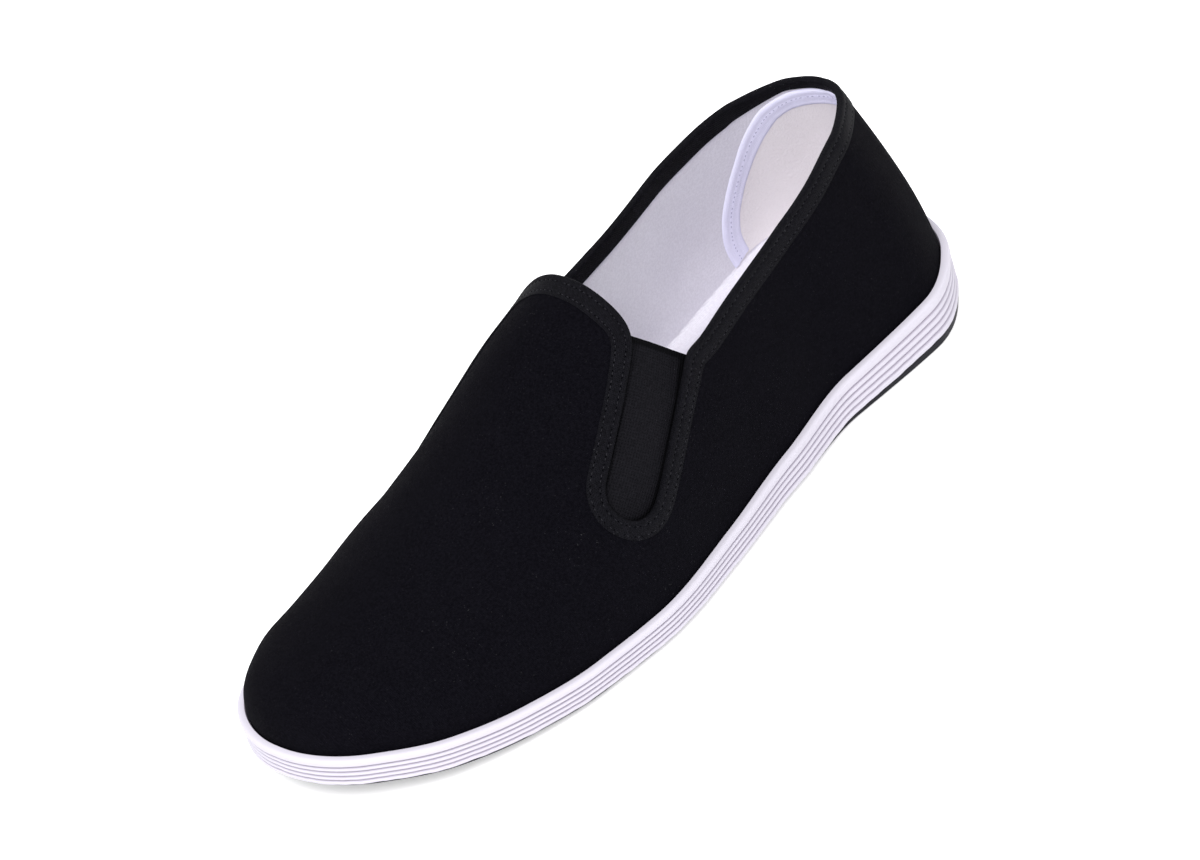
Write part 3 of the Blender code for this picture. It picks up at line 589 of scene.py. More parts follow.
# %% Node helpers
def new_group(name, inputs, outputs):
    """An empty shader node group with float or vector sockets."""
    group = bpy.data.node_groups.new(name, "ShaderNodeTree")
    for label, kind, value in inputs:
        socket = group.interface.new_socket(label, in_out="INPUT", socket_type=kind)
        if value is not None:
            socket.default_value = value
    for label, kind in outputs:
        group.interface.new_socket(label, in_out="OUTPUT", socket_type=kind)
    return group, group.nodes.new("NodeGroupInput"), group.nodes.new("NodeGroupOutput")

def maths(tree, operation, first, second=None, clamp=False):
    """A Math node. Its two operands are numbers or sockets."""
    node = tree.nodes.new("ShaderNodeMath")
    node.operation = operation
    node.use_clamp = clamp
    for slot, value in enumerate((first, second)):
        if value is None:
            continue
        if isinstance(value, (int, float)):
            node.inputs[slot].default_value = value
        else:
            tree.links.new(value, node.inputs[slot])
    return node.outputs[0]

def noise(tree, vector, scale, detail=2.0, roughness=0.5):
    node = tree.nodes.new("ShaderNodeTexNoise")
    node.inputs["Scale"].default_value = scale
    node.inputs["Detail"].default_value = detail
    node.inputs["Roughness"].default_value = roughness
    tree.links.new(vector, node.inputs["Vector"])
    return node.outputs["Fac"]

def remap(tree, value, low, high, to_low=0.0, to_high=1.0):
    node = tree.nodes.new("ShaderNodeMapRange")
    node.interpolation_type = "SMOOTHSTEP"
    for label, number in (("From Min", low), ("From Max", high), ("To Min", to_low), ("To Max", to_high)):
        node.inputs[label].default_value = number
    tree.links.new(value, node.inputs["Value"])
    return node.outputs["Result"]

def mixed(tree, factor, first, second):
    """A colour mix. Colours are tuples or sockets."""
    node = tree.nodes.new("ShaderNodeMix")
    node.data_type = "RGBA"
    tree.links.new(factor, node.inputs["Factor"])
    for label, value in (("A", first), ("B", second)):
        socket = [s for s in node.inputs if s.name == label and s.type == "RGBA"][0]
        if isinstance(value, tuple):
            socket.default_value = (*value, 1.0)
        else:
            tree.links.new(value, socket)
    return [s for s in node.outputs if s.type == "RGBA"][0]

def bump(tree, height, strength, distance):
    node = tree.nodes.new("ShaderNodeBump")
    node.inputs["Strength"].default_value = strength
    node.inputs["Distance"].default_value = distance
    tree.links.new(height, node.inputs["Height"])
    return node.outputs["Normal"]

def place_group(tree, group, vector, **values):
    node = tree.nodes.new("ShaderNodeGroup")
    node.node_tree = group
    tree.links.new(vector, node.inputs["Vector"])
    for label, value in values.items():
        node.inputs[label].default_value = value
    return node

print("node helpers ready")

# %% [markdown]
# The weave repeats over a thread pitch: one sine for the warp, one for the weft, and a slant
# that shifts each row against the last one, as in a twill. A little noise breaks up the rows.

# %% Weave, lint and tone
def weave_group():
    """Height of a weave: the larger of two rounded thread waves, warp shifted by the weft."""
    group, given, result = new_group(
        "weave",
        [("Vector", "NodeSocketVector", None), ("Threads", "NodeSocketFloat", 1800.0),
         ("Slant", "NodeSocketFloat", 0.5)],
        [("Height", "NodeSocketFloat"), ("Gap", "NodeSocketFloat")],
    )
    split = group.nodes.new("ShaderNodeSeparateXYZ")
    group.links.new(given.outputs["Vector"], split.inputs[0])
    threads = given.outputs["Threads"]
    loose = noise(group, given.outputs["Vector"], 900.0, 1.0)
    nudge = maths(group, "MULTIPLY", maths(group, "SUBTRACT", loose, 0.5), 2.2)
    along = maths(group, "ADD", maths(group, "MULTIPLY", split.outputs["X"], threads), nudge)
    over = maths(group, "ADD", maths(group, "MULTIPLY", split.outputs["Y"], threads), nudge)
    shifted = maths(group, "ADD", along, maths(group, "MULTIPLY", over, given.outputs["Slant"]))
    warp = maths(group, "ABSOLUTE", maths(group, "SINE", shifted))
    weft = maths(group, "ABSOLUTE", maths(group, "SINE", over))
    height = maths(group, "MAXIMUM", warp, maths(group, "MULTIPLY", weft, 0.8))
    group.links.new(height, result.inputs["Height"])
    group.links.new(remap(group, height, 0.35, 0.75, 1.0, 0.0), result.inputs["Gap"])
    return group

def lint_group():
    """Mask of specks: where fine noise passes a high level inside patches of coarse noise."""
    group, given, result = new_group(
        "lint",
        [("Vector", "NodeSocketVector", None), ("Amount", "NodeSocketFloat", 1.0)],
        [("Mask", "NodeSocketFloat")],
    )
    fine = noise(group, given.outputs["Vector"], 1500.0, 2.0, 0.6)
    patch = noise(group, given.outputs["Vector"], 60.0, 3.0)
    specks = remap(group, fine, 0.66, 0.78)
    areas = remap(group, patch, 0.45, 0.70, 0.25, 1.0)
    both = maths(group, "MULTIPLY", specks, areas)
    mask = maths(group, "MULTIPLY", both, given.outputs["Amount"], clamp=True)
    group.links.new(mask, result.inputs["Mask"])
    return group

def tone_group():
    """Slow unevenness of tone: two noises of different size, averaged."""
    group, given, result = new_group(
        "tone",
        [("Vector", "NodeSocketVector", None)],
        [("Tone", "NodeSocketFloat")],
    )
    slow = noise(group, given.outputs["Vector"], 18.0, 3.0)
    fast = noise(group, given.outputs["Vector"], 140.0, 4.0, 0.6)
    both = maths(group, "MULTIPLY", maths(group, "ADD", slow, fast), 0.5)
    group.links.new(both, result.inputs["Tone"])
    return group

WEAVE = weave_group()
LINT = lint_group()
TONE = tone_group()
print("node groups", WEAVE.name, LINT.name, TONE.name)

# %% [markdown]
# Each material is one shader whose colour and bump come from those groups. Cloth has two tones,
# threads and lint, and painted shade in the gaps of the weave. Where a piece carries a mask, the
# colour goes over to a darker one: along the hem of the gore, beside the tape round the gore,
# where it is painted shade, and over the floor of the insole.

# %% Cloth
def blank(name, roughness, specular, sheen=0.0, sheen_roughness=0.3):
    """A material with its shader's constant sockets set, and its tree and shader."""
    material = bpy.data.materials.new(name)
    material.use_nodes = True
    shader = material.node_tree.nodes["Principled BSDF"]
    for label, number in (("Roughness", roughness), ("Specular IOR Level", specular),
                          ("Sheen Weight", sheen), ("Sheen Roughness", sheen_roughness)):
        shader.inputs[label].default_value = number
    return material, material.node_tree, shader

def places(tree):
    """The Object and UV outputs of a Texture Coordinate node."""
    node = tree.nodes.new("ShaderNodeTexCoord")
    return node.outputs["Object"], node.outputs["UV"]

def grooved(tree, colour, groove):
    """The colour, going over to the darker one where the piece's mask is high. That is painted shade
    in the grooves and along the edges of the white sole and beside the tape round the gore, and a
    plain darker colour along the gore's hem and over the insole's floor.
    """
    if groove is None:
        return colour
    mask = tree.nodes.new("ShaderNodeAttribute")
    mask.attribute_name = "mask"
    return mixed(tree, remap(tree, mask.outputs["Fac"], 0.05, 0.95, 0.0, 0.85), colour, groove)

def cloth(name, dark, light, threads, slant, roughness, sheen, lint, depth, specular=0.25,
          lint_tone=0.12, groove=None, speckle=0.5):
    """A woven material: two tones by the slow tone and a fine speckle, painted shade in the weave's gaps,
    specks of lint, and a bump from the threads with a finer nap over it."""
    material, tree, shader = blank(name, roughness, specular, sheen, 0.45)
    solid, flat = places(tree)
    weave = place_group(tree, WEAVE, flat, Threads=threads, Slant=slant)
    tone = place_group(tree, TONE, solid)
    specks = place_group(tree, LINT, solid, Amount=lint)
    nap = noise(tree, solid, 1300.0, 3.0, 0.75)
    spotted = remap(tree, nap, 0.32, 0.68)
    share = maths(tree, "ADD", maths(tree, "MULTIPLY", tone.outputs["Tone"], 1.0 - speckle),
                  maths(tree, "MULTIPLY", spotted, speckle))
    base = mixed(tree, share, dark, light)
    # painted shade: the colour goes towards the dark tone in the gaps of the weave
    shaded = mixed(tree, maths(tree, "MULTIPLY", weave.outputs["Gap"], 0.6), base, dark)
    bright = tuple(min(1.0, c + lint_tone) for c in light)
    colour = grooved(tree, mixed(tree, specks.outputs["Mask"], shaded, bright), groove)
    tree.links.new(colour, shader.inputs["Base Color"])
    height = maths(tree, "ADD", weave.outputs["Height"], maths(tree, "MULTIPLY", nap, 0.9))
    tree.links.new(bump(tree, height, 0.8, depth), shader.inputs["Normal"])
    return material

CLOTHS = (
    # name, dark and light tone, threads, slant, roughness, sheen, lint and depth of the bump,
    # then, where they differ from the usual, specular, tone of the lint, colour under the mask and speckle
    ("black_cotton", (0.0006, 0.0005, 0.0012), (0.0050, 0.0047, 0.0071),
     7000.0, 0.5, 0.9, 0.002, 0.9, 0.00018, 0.02, 0.03),
    ("black_tape", (0.0005, 0.0005, 0.0010), (0.0085, 0.0082, 0.0112),
     5200.0, 0.5, 0.6, 0.002, 1.0, 0.00034, 0.035, 0.05),
    # the elastic's colour under the mask is painted shade beside the tape, and darker along its hem
    ("charcoal_elastic", (0.0018, 0.0017, 0.0026), (0.0084, 0.0080, 0.0104),
     3600.0, 0.0, 0.7, 0.003, 0.4, 0.00030, 0.04, 0.03, (0.0006, 0.0006, 0.0010)),
    ("black_thread", (0.004, 0.004, 0.006), (0.022, 0.021, 0.028),
     9000.0, 0.0, 0.5, 0.0, 0.0, 0.00005, 0.15, 0.0, None, 0.9),
    ("faint_thread", (0.001, 0.001, 0.002), (0.026, 0.025, 0.033),
     9000.0, 0.0, 0.8, 0.0, 0.0, 0.00005, 0.03, 0.0, None, 0.9),
    ("white_thread", (0.40, 0.38, 0.56), (0.52, 0.50, 0.68), 9000.0, 0.0, 0.6, 0.0, 0.0, 0.00005),
    # the lining's colour under the mask makes the insole's floor darker away from the cove
    ("lining_cotton", (0.67, 0.65, 0.72), (0.85, 0.835, 0.905),
     6200.0, 0.0, 0.9, 0.03, 0.0, 0.00018, 0.25, 0.12, (0.58, 0.56, 0.635)),
    ("grip_cotton", (0.82, 0.78, 0.79), (0.91, 0.87, 0.88), 0.0, 0.0, 0.9, 0.03, 0.0, 0.00014),
    ("white_tape", (0.77, 0.76, 0.94), (0.82, 0.81, 0.99), 5200.0, 0.5, 0.75, 0.03, 0.0, 0.00016),
)
(BLACK_COTTON, BLACK_TAPE, ELASTIC, THREAD, FAINT_THREAD, WHITE_THREAD, LINING_COTTON, GRIP_COTTON,
 WHITE_TAPE) = [cloth(*row) for row in CLOTHS]
# a near-black material for painted shade in the needle holes between the stitches
HOLE_SHADE, _, hole_shade_shader = blank("needle_hole_shade", 1.0, 0.0)
hole_shade_shader.inputs["Base Color"].default_value = (0.0006, 0.0006, 0.001, 1.0)
print("cloths", [row[0] for row in CLOTHS])

# %% [markdown]
# Moulded rubber has no threads. Two close tones, an uneven gloss and a faint grain keep it from
# looking like hard plastic, and the mask paints shade into the grooves and along the edges of the white
# side.

# %% Rubber
def rubber(name, dark, light, roughness, specular, grain, groove=None):
    """Moulded rubber: two tones by the slow tone, a little variation of gloss and fine grain.
    Where the piece's mask is high, in its grooves, the colour goes over to a darker one: painted shade."""
    material, tree, shader = blank(name, roughness, specular)
    solid, _ = places(tree)
    tone = place_group(tree, TONE, solid)
    colour = grooved(tree, mixed(tree, tone.outputs["Tone"], dark, light), groove)
    tree.links.new(colour, shader.inputs["Base Color"])
    gloss = remap(tree, tone.outputs["Tone"], 0.3, 0.7, roughness - 0.06, roughness + 0.10)
    tree.links.new(gloss, shader.inputs["Roughness"])
    fine = noise(tree, solid, 1400.0, 2.0, 0.6)
    tree.links.new(bump(tree, fine, 0.5, grain), shader.inputs["Normal"])
    return material

# the last colour is painted shade for the grooves, the lower edge and the tray of the white sole
WHITE_RUBBER = rubber(
    "white_rubber", (0.495, 0.475, 0.535), (0.53, 0.51, 0.57), 0.5, 0.2, 0.000012, (0.37, 0.335, 0.405)
)
BLACK_RUBBER = rubber(
    "black_rubber", (0.0035, 0.0035, 0.0060), (0.0075, 0.0075, 0.0120), 0.48, 0.16, 0.00004
)
print("rubbers", WHITE_RUBBER.name, BLACK_RUBBER.name)

# %% [markdown]
# The tape is one long strip folded over the whole edge. Its path is the edge drawn finely and
# rounded a little at the corners, as a sewn tape never turns sharply.

# %% Edge of the opening
PATH_STEP = 0.8
NOTCH_SMOOTHING = 6.0
CORNER_SMOOTHING = 12.0
COLLAR_SMOOTHING = 22.0
CORNER_ZONE = (9.0, 12.0)
COLLAR_ZONE = (16.0, 25.0)
WALK_STEPS = 12
WALK_REACH = 9.0
COLLAR_TRIM = np.array((
    # station, and by how many millimetres the lateral and the medial collar stand off the plain one
    (0.553, 0.0, 0.0),
    (0.58, -0.8, -0.6),
    (0.64, 0.1, 0.2),
    (0.73, -1.5, 0.1),
    (0.80, -0.8, -0.9),
    (0.87, 0.2, 0.5),
    (0.90, 0.0, -0.3),
    (0.955, 0.0, 1.3),
    (0.985, 0.0, 0.3),
    (1.00, 0.0, 0.0),
))

def even_path(turn, quarter, step):
    """The path again at even steps of length, by linear interpolation of its arc length."""
    run = run_along(last_point(turn, quarter))
    at = np.linspace(0.0, run[-1], int(round(run[-1] / step)) + 1)
    return np.interp(at, run, turn), np.interp(at, run, quarter)

def slide(turn, quarter, reach):
    """A sliding mean of a path, mirrored at both ends so that two halves meet squarely."""
    weights = np.hanning(2 * reach + 3)[1:-1]
    turn = np.concatenate([turn[reach:0:-1], turn, 2.0 * np.pi - turn[-2:-reach - 2:-1]])
    quarter = np.concatenate([np.pi - quarter[reach:0:-1], quarter, quarter[-2:-reach - 2:-1]])
    weights = weights / weights.sum()
    return np.array([np.convolve(turn, weights, "valid"), np.convolve(quarter, weights, "valid")])

def half_edge(side):
    """The edge on one side from the throat's middle to the heel's, as turn and own quarter:
    throat, down and up the notch, collar. A short sliding mean keeps the notch's foot, a longer
    one rounds the corner where throat and notch meet, and the longest evens the collar."""
    throat = np.linspace(np.pi / 2.0, NOTCH_TOP, 40)[:-1]
    turns, quarters = from_chart(NOTCHES[side].outline(40, 60), side)
    quarters = own(quarters, side)
    collar = np.linspace(COLLAR_TURN, np.pi, 160)[1:]
    turn = np.concatenate([throat_turn(throat), turns, collar])
    quarter = np.concatenate([throat, quarters, collar_quarter(collar)])
    turn, quarter = even_path(turn, quarter, PATH_STEP)
    run = np.arange(len(turn)) * PATH_STEP
    corner = run[np.argmin(np.hypot(turn - turns[0], quarter - quarters[0]))]
    start = run[np.argmin(np.hypot(turn - turns[-1], quarter - quarters[-1]))]
    path = slide(turn, quarter, int(NOTCH_SMOOTHING / PATH_STEP))
    near = 1.0 - np.clip((np.abs(run - corner) - CORNER_ZONE[0]) / CORNER_ZONE[1], 0.0, 1.0)
    far = np.clip((run - start - COLLAR_ZONE[0]) / COLLAR_ZONE[1], 0.0, 1.0)
    for share, reach in ((near, CORNER_SMOOTHING), (far, COLLAR_SMOOTHING)):
        share = share * share * (3.0 - 2.0 * share)
        path = path * (1.0 - share) + slide(turn, quarter, int(reach / PATH_STEP)) * share
    turn, quarter = path
    rise = read_curve(turn_of(COLLAR_TRIM[:, 0]), COLLAR_TRIM[:, 1 if side > 0 else 2], turn)
    per_quarter = np.linalg.norm(last_point(turn, quarter + 0.01) - last_point(turn, quarter), axis=1)
    return turn, quarter + rise * 0.01 / per_quarter * (run > start)

lateral_edge, medial_edge = half_edge(1.0), half_edge(-1.0)
print("samples on each half of the edge", len(lateral_edge[0]), len(medial_edge[0]))

# %% [markdown]
# Tape and stitches lie beside a line on curved cloth. From each point of the line a short walk
# over the cloth, square to the line, finds where each part of the tape's profile lies.

# %% A path with the cloth beside it
def walk(turn, quarter, step):
    """Moves points by short steps in the face of the last: the step is solved for the turn and
    the quarter with the two tangents."""
    small = 1e-4
    here = last_point(turn, quarter)
    by_turn = (last_point(turn + small, quarter) - here) / small
    by_quarter = (last_point(turn, quarter + small) - here) / small
    a, b = (by_turn * by_turn).sum(-1), (by_turn * by_quarter).sum(-1)
    c = (by_quarter * by_quarter).sum(-1)
    p, q = (by_turn * step).sum(-1), (by_quarter * step).sum(-1)
    det = a * c - b * b
    return turn + (c * p - b * q) / det, quarter + (a * q - b * p) / det

class Path:
    """A line over the last with its points, normals and arc length, and the rows of cloth at
    its right hand, out to the walk's reach."""

    def __init__(self, turn, quarter, closed=False):
        self.turn, self.quarter = turn, quarter
        self.points, self.normal = last_point(turn, quarter), last_normal(turn, quarter)
        if closed:
            along = np.roll(self.points, -1, axis=0) - np.roll(self.points, 1, axis=0)
            self.run = run_along(np.vstack([self.points, self.points[:1]]))
        else:
            along = np.gradient(self.points, axis=0)
            self.run = run_along(self.points)
        self.inward = unit(np.cross(unit(along), self.normal))
        rows = [(turn, quarter)]
        for _ in range(WALK_STEPS):
            rows.append(walk(*rows[-1], self.inward * WALK_REACH / WALK_STEPS))
        self.rows = np.array(rows)

    def beside(self, depth, out):
        """Points at a depth from the line and a height over the cloth. A negative depth goes
        straight out from the line, off the cloth."""
        depth = np.broadcast_to(np.asarray(depth, float), self.turn.shape)
        place = np.clip(depth / WALK_REACH, 0.0, 1.0) * WALK_STEPS
        i = np.minimum(place.astype(int), WALK_STEPS - 1)
        t, n = place - i, np.arange(len(self.turn))
        turn, quarter = (self.rows[i, k, n] * (1 - t) + self.rows[i + 1, k, n] * t for k in (0, 1))
        return skin(turn, quarter, out) + self.inward * np.minimum(depth, 0.0)[:, None]

    def distance(self, points):
        """Signed distance of points of the cloth from the line, positive at its right hand: the
        nearest sample is found with |p - e|^2 = |p|^2 - 2 p.e + |e|^2."""
        square = (self.points ** 2).sum(1) - 2.0 * points @ self.points.T
        nearest = square.argmin(axis=-1)
        return ((points - self.points[nearest]) * self.inward[nearest]).sum(-1)

EDGE = Path(np.concatenate([lateral_edge[0], 2.0 * np.pi - medial_edge[0][-2:0:-1]]),
            np.concatenate([lateral_edge[1], medial_edge[1][-2:0:-1]]), True)
print("edge of the opening", np.round(EDGE.run[-1]), "mm round")

# %% [markdown]
# The upper is one sheet of cloth, drawn as a ring of cells between the feather line and the
# edge of the opening. Round the toe the columns run straight up the vamp, and along the sides
# they climb the sections. Cells inside the notches and close to the edge are left out; the tape
# covers what is cut there.

# %% Upper cloth and lining
COLUMNS = 288
LEVELS = 60
LEVEL_CROWDING = 1.35
THROAT_CELLS = 36
BRIDGE_CELLS = 12
BLEND_CELLS = 22
FRONT_SPREAD = 0.80
CLOTH = 1.1
CLOTH_HEM = 2.5
LINING_GAP = 0.05
LINING = 0.45
LINING_HEM = 1.5
INNER_FACE = -CLOTH - LINING_GAP - LINING
TAPE_COVER = 2.0

def opening_line():
    """Turn and quarter where each column of one side ends: along the throat, over the notch's
    mouth and along the collar."""
    half = COLUMNS // 2
    throat = NOTCH_TOP + (np.pi / 2.0 - NOTCH_TOP) * np.linspace(1.0, 0.0, THROAT_CELLS + 1)
    bridge = np.linspace(0.0, 1.0, BRIDGE_CELLS + 1)[1:-1]
    collar = np.linspace(COLLAR_TURN, np.pi, half - THROAT_CELLS - BRIDGE_CELLS + 1)
    start = float(collar_quarter(np.array(COLLAR_TURN)))
    corner = float(throat_turn(np.array(NOTCH_TOP)))
    turns = [throat_turn(throat), corner + (COLLAR_TURN - corner) * bridge, collar]
    quarters = [throat, NOTCH_TOP + (start - NOTCH_TOP) * bridge, collar_quarter(collar)]
    return np.concatenate(turns), np.concatenate(quarters)

def upper_grid():
    """Turn and quarter of one side, a row for each level. Sections are followed at the back.
    At the front straight lines are drawn in polar coordinates (turn, quarter) round the toe."""
    end_turn, end_quarter = opening_line()
    front = THROAT_CELLS + BRIDGE_CELLS
    first = end_turn.copy()
    first[: front + 1] = FRONT_SPREAD * COLLAR_TURN * np.linspace(0.0, 1.0, front + 1)
    first[front : front + BLEND_CELLS] = np.linspace(
        first[front], end_turn[front + BLEND_CELLS - 1], BLEND_CELLS
    )
    level = np.linspace(0.0, 1.0, LEVELS)[:, None]
    t = 1.0 - (1.0 - level) ** LEVEL_CROWDING
    climbing_turn = first + (end_turn - first) * t
    climbing_quarter = end_quarter * t
    straight_x = first * (1.0 - t) + end_turn * np.cos(end_quarter) * t
    straight_z = end_turn * np.sin(end_quarter) * t
    place = np.arange(COLUMNS // 2 + 1)
    weight = np.clip(1.0 - (place - front + 8.0) / (BLEND_CELLS + 2.0), 0.0, 1.0)
    x = climbing_turn * np.cos(climbing_quarter) * (1.0 - weight) + straight_x * weight
    z = climbing_turn * np.sin(climbing_quarter) * (1.0 - weight) + straight_z * weight
    return np.hypot(x, z), np.arctan2(z, x)

def upper_sheet(name, over, under, material, hem):
    """A shell between two offsets of the last. Both sides are grids of their own that share
    the front and heel columns, and an extra first row goes down inside the sole."""
    turn, climbed = upper_grid()
    fronts, backs, quads, uvs = [], [], [], []
    for side in (1.0, -1.0):
        quarter = own(climbed, side)
        heights = feather(turn[0]) - hem
        around = turn[0] if side > 0 else 2.0 * np.pi - turn[0]
        sheets = []
        for out in (over, under):
            foot = np.column_stack([outline(around, out), heights])
            sheets.append(np.concatenate([foot[None], skin(turn, quarter, out)]))
        uv = cloth_uv(turn, quarter)
        drop = np.array([0.0, -side * hem * MM])
        uv = np.concatenate([uv[:1] + drop, uv])
        corners = cells(numbered(*sheets[0].shape[:2]), side < 0)
        kept = EDGE.distance(cells(sheets[0], side < 0).mean(axis=1)) > TAPE_COVER
        quads.append(corners[kept] + sum(len(f) for f in fronts))
        uvs.append(cells(uv, side < 0)[kept])
        fronts.append(sheets[0].reshape(-1, 3))
        backs.append(sheets[1].reshape(-1, 3))
    return shell(name, np.concatenate(fronts), np.concatenate(backs), np.concatenate(quads),
                 material, np.concatenate(uvs), 60.0)

upper_cloth = upper_sheet("upper_cloth", 0.0, -CLOTH, BLACK_COTTON, CLOTH_HEM)
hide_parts("upper")
lining = upper_sheet("lining", -CLOTH - LINING_GAP, INNER_FACE, LINING_COTTON, LINING_HEM)

# %% [markdown]
# The tape's profile is a narrow U: an outer leg that swells between its stitches, a round fold
# just past the edge of the cloth, and an inner leg that gets narrow at the heel.

# %% Binding tape
TAPE_PROFILE = np.array((
    (1.00, 0.03), (1.00, 0.26), (0.96, 0.36), (0.86, 0.36), (0.80, 0.33), (0.74, 0.38), (0.60, 0.46),
    (0.46, 0.46), (0.36, 0.40), (0.29, 0.22), (0.24, 0.24), (0.18, 0.42), (0.09, 0.46), (0.00, 0.30),
    (-0.05, -0.10), (-0.065, -0.80), (-0.05, -1.50), (0.00, -1.88), (0.08, -2.04), (0.18, -2.08),
    (0.50, -2.14), (0.84, -2.10), (1.02, -2.06), (1.06, -1.95), (1.06, -1.64), (0.50, -1.64),
    (0.10, -1.63), (0.03, -1.30), (0.02, -0.80), (0.03, -0.30), (0.10, 0.02), (0.50, 0.03),
))
INNER_LEG = -1.5
HEEL_NARROWING = 0.54
COLLAR_NARROWING = 0.12
NOTCH_NARROWING = 0.17
NARROWING_REACH = 18

def outer_share():
    """Width of the outer leg along the path, as a share: the tape is pulled narrower round the
    notches. A sliding mean makes the change gradual."""
    notch = (fold(EDGE.turn)[0] < COLLAR_TURN) & (EDGE.quarter < NOTCH_TOP)
    wide = np.concatenate([notch[-NARROWING_REACH:], notch, notch[:NARROWING_REACH]]).astype(float)
    window = np.ones(2 * NARROWING_REACH + 1) / (2 * NARROWING_REACH + 1)
    return 1.0 - NOTCH_NARROWING * np.convolve(wide, window, "valid")

def inner_share():
    """Width of the inner leg along the path, as a share: narrow over the last stations, and a
    little along the middle of the collar."""
    station = station_of(fold(EDGE.turn)[0])
    heel = HEEL_NARROWING * np.clip((station - 0.87) / 0.09, 0.0, 1.0)
    middle = COLLAR_NARROWING * np.exp(-((station - 0.66) / 0.07) ** 2)
    return 1.0 - (heel + middle) * (EDGE.quarter > 0.5)

OUTER_WIDTH = TAPE_WIDTH * outer_share()
INNER_WIDTH = TAPE_WIDTH * inner_share()

def binding():
    """The profile carried along the whole edge, closed both ways."""
    rows = []
    for depth, out in TAPE_PROFILE:
        width = INNER_WIDTH if out < INNER_LEG and depth > 0.0 else OUTER_WIDTH
        rows.append(EDGE.beside(depth * width, out))
    rows = np.stack(rows + rows[:1])
    index = numbered(len(TAPE_PROFILE), rows.shape[1], True)
    index = np.concatenate([index, index[:1]])
    uv = np.stack(np.meshgrid(EDGE.run, run_along(rows[:, 0])), axis=-1) * MM
    return build("binding_tape", rows[:-1].reshape(-1, 3), cells(index), BLACK_TAPE, cells(uv), 50.0)

tape = binding()
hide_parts("collar_binding")

# %% [markdown]
# The gore is woven elastic sewn in behind the notch, so the foot can push in. Its grid is ruled
# between the two sides of a wider notch outline, from the round foot up to the mouth.

# %% Elastic gores
GORE_MARGIN = 5.0
GORE_SINK = 2.7
GORE_SWELL = 1.3
GORE_THICKNESS = 1.1
GORE_TOP_DROP = 0.2
GORE_HEM = 2.0

def gore(side):
    """The panel swells a little between its edges and sinks to a flat, stitched hem at the top.
    Its mask is high along the hem, which it makes darker, and beside the tape, where it is painted
    shade."""
    notch = NOTCHES[side]
    edge = notch.outline(60, 50, GORE_MARGIN)
    half = len(edge) // 2
    left, right = edge[half - 1::-1], edge[half + 1:]
    share = np.linspace(0.0, 1.0, 61)
    chart = left[:, None] + (right - left)[:, None] * share[None, :, None]
    rise = (chart - notch.foot) @ -notch.down
    chart = chart + notch.down * (GORE_TOP_DROP * np.clip(rise / NOTCH_LENGTH, 0.0, 1.0))[..., None]
    turn, quarter = from_chart(chart, side)
    across = np.clip(1.0 - np.abs(2.0 * share - 1.0) ** 3 * 1.6, 0.0, 1.0)
    swell = across * np.clip((rise + 9.0) / 14.0, 0.0, 1.0)
    swell = swell * (1.0 - 2.1 * np.clip((rise - NOTCH_LENGTH + 14.0) / 14.0, 0.0, 1.0))
    hem = 0.35 * np.exp(-((rise - NOTCH_LENGTH + GORE_HEM) / 0.45) ** 2)
    out = -GORE_SINK + GORE_SWELL * swell - hem
    front = skin(turn, quarter, out)
    back = skin(turn, quarter, out - GORE_THICKNESS)
    uv = (chart - notch.foot) @ np.column_stack([notch.across, notch.down]) * MM
    name = "gore_lateral" if side > 0 else "gore_medial"
    # the mask: darker along the hem, and painted shade within 1.5 mm of the tape's edge
    seam = np.clip((rise - NOTCH_LENGTH + GORE_HEM) / 0.4, 0.0, 1.0)
    dark = np.clip(seam + np.clip((EDGE.distance(front) + 1.5) / 1.3, 0.0, 1.0), 0.0, 1.0)
    piece = grid_shell(name + "_elastic", front, back, ELASTIC, uv, True, 60.0, dark)
    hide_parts(name)

for side in (1.0, -1.0):
    gore(side)

# %% [markdown]
# The white side of the sole is a moulded wall round a tray. Its profile runs from the recess
# under the sole, out over the rim, up the ribbed side, over the rounded top edge and down into
# the tray. The ribs are what is left between four soft grooves.

# %% White sole
RING_CELLS = 480
SIDE_LEVELS = 90
GROOVES = (0.70, 0.52, 0.34, 0.17)
GROOVE_DEPTH = 0.75
GROOVE_WIDTH = 0.036
TOP_ROUND = 0.9
FOOT_ROUND = 0.5
RAGGED = ((19, 0.07), (46, 0.06), (83, 0.05), (127, 0.04))
RING_TURNS = np.arange(RING_CELLS) * 2.0 * np.pi / RING_CELLS

def ring(out, heights):
    """A closed ring of points: the feather line moved out, at the given heights."""
    return np.column_stack([outline(RING_TURNS, out), heights])

def side_profile(v):
    """How far out the side stands at a share of its height, and how deep in a groove that is:
    grooves are narrow Gaussian dips, and the band above them swells a little."""
    dips = sum(np.exp(-(((v - level) / GROOVE_WIDTH) ** 2)) for level in GROOVES)
    swell = 0.22 * np.sin(np.pi * np.clip((v - 0.72) / 0.28, 0.0, 1.0))
    return FOXING_OUT - GROOVE_DEPTH * dips + swell, dips

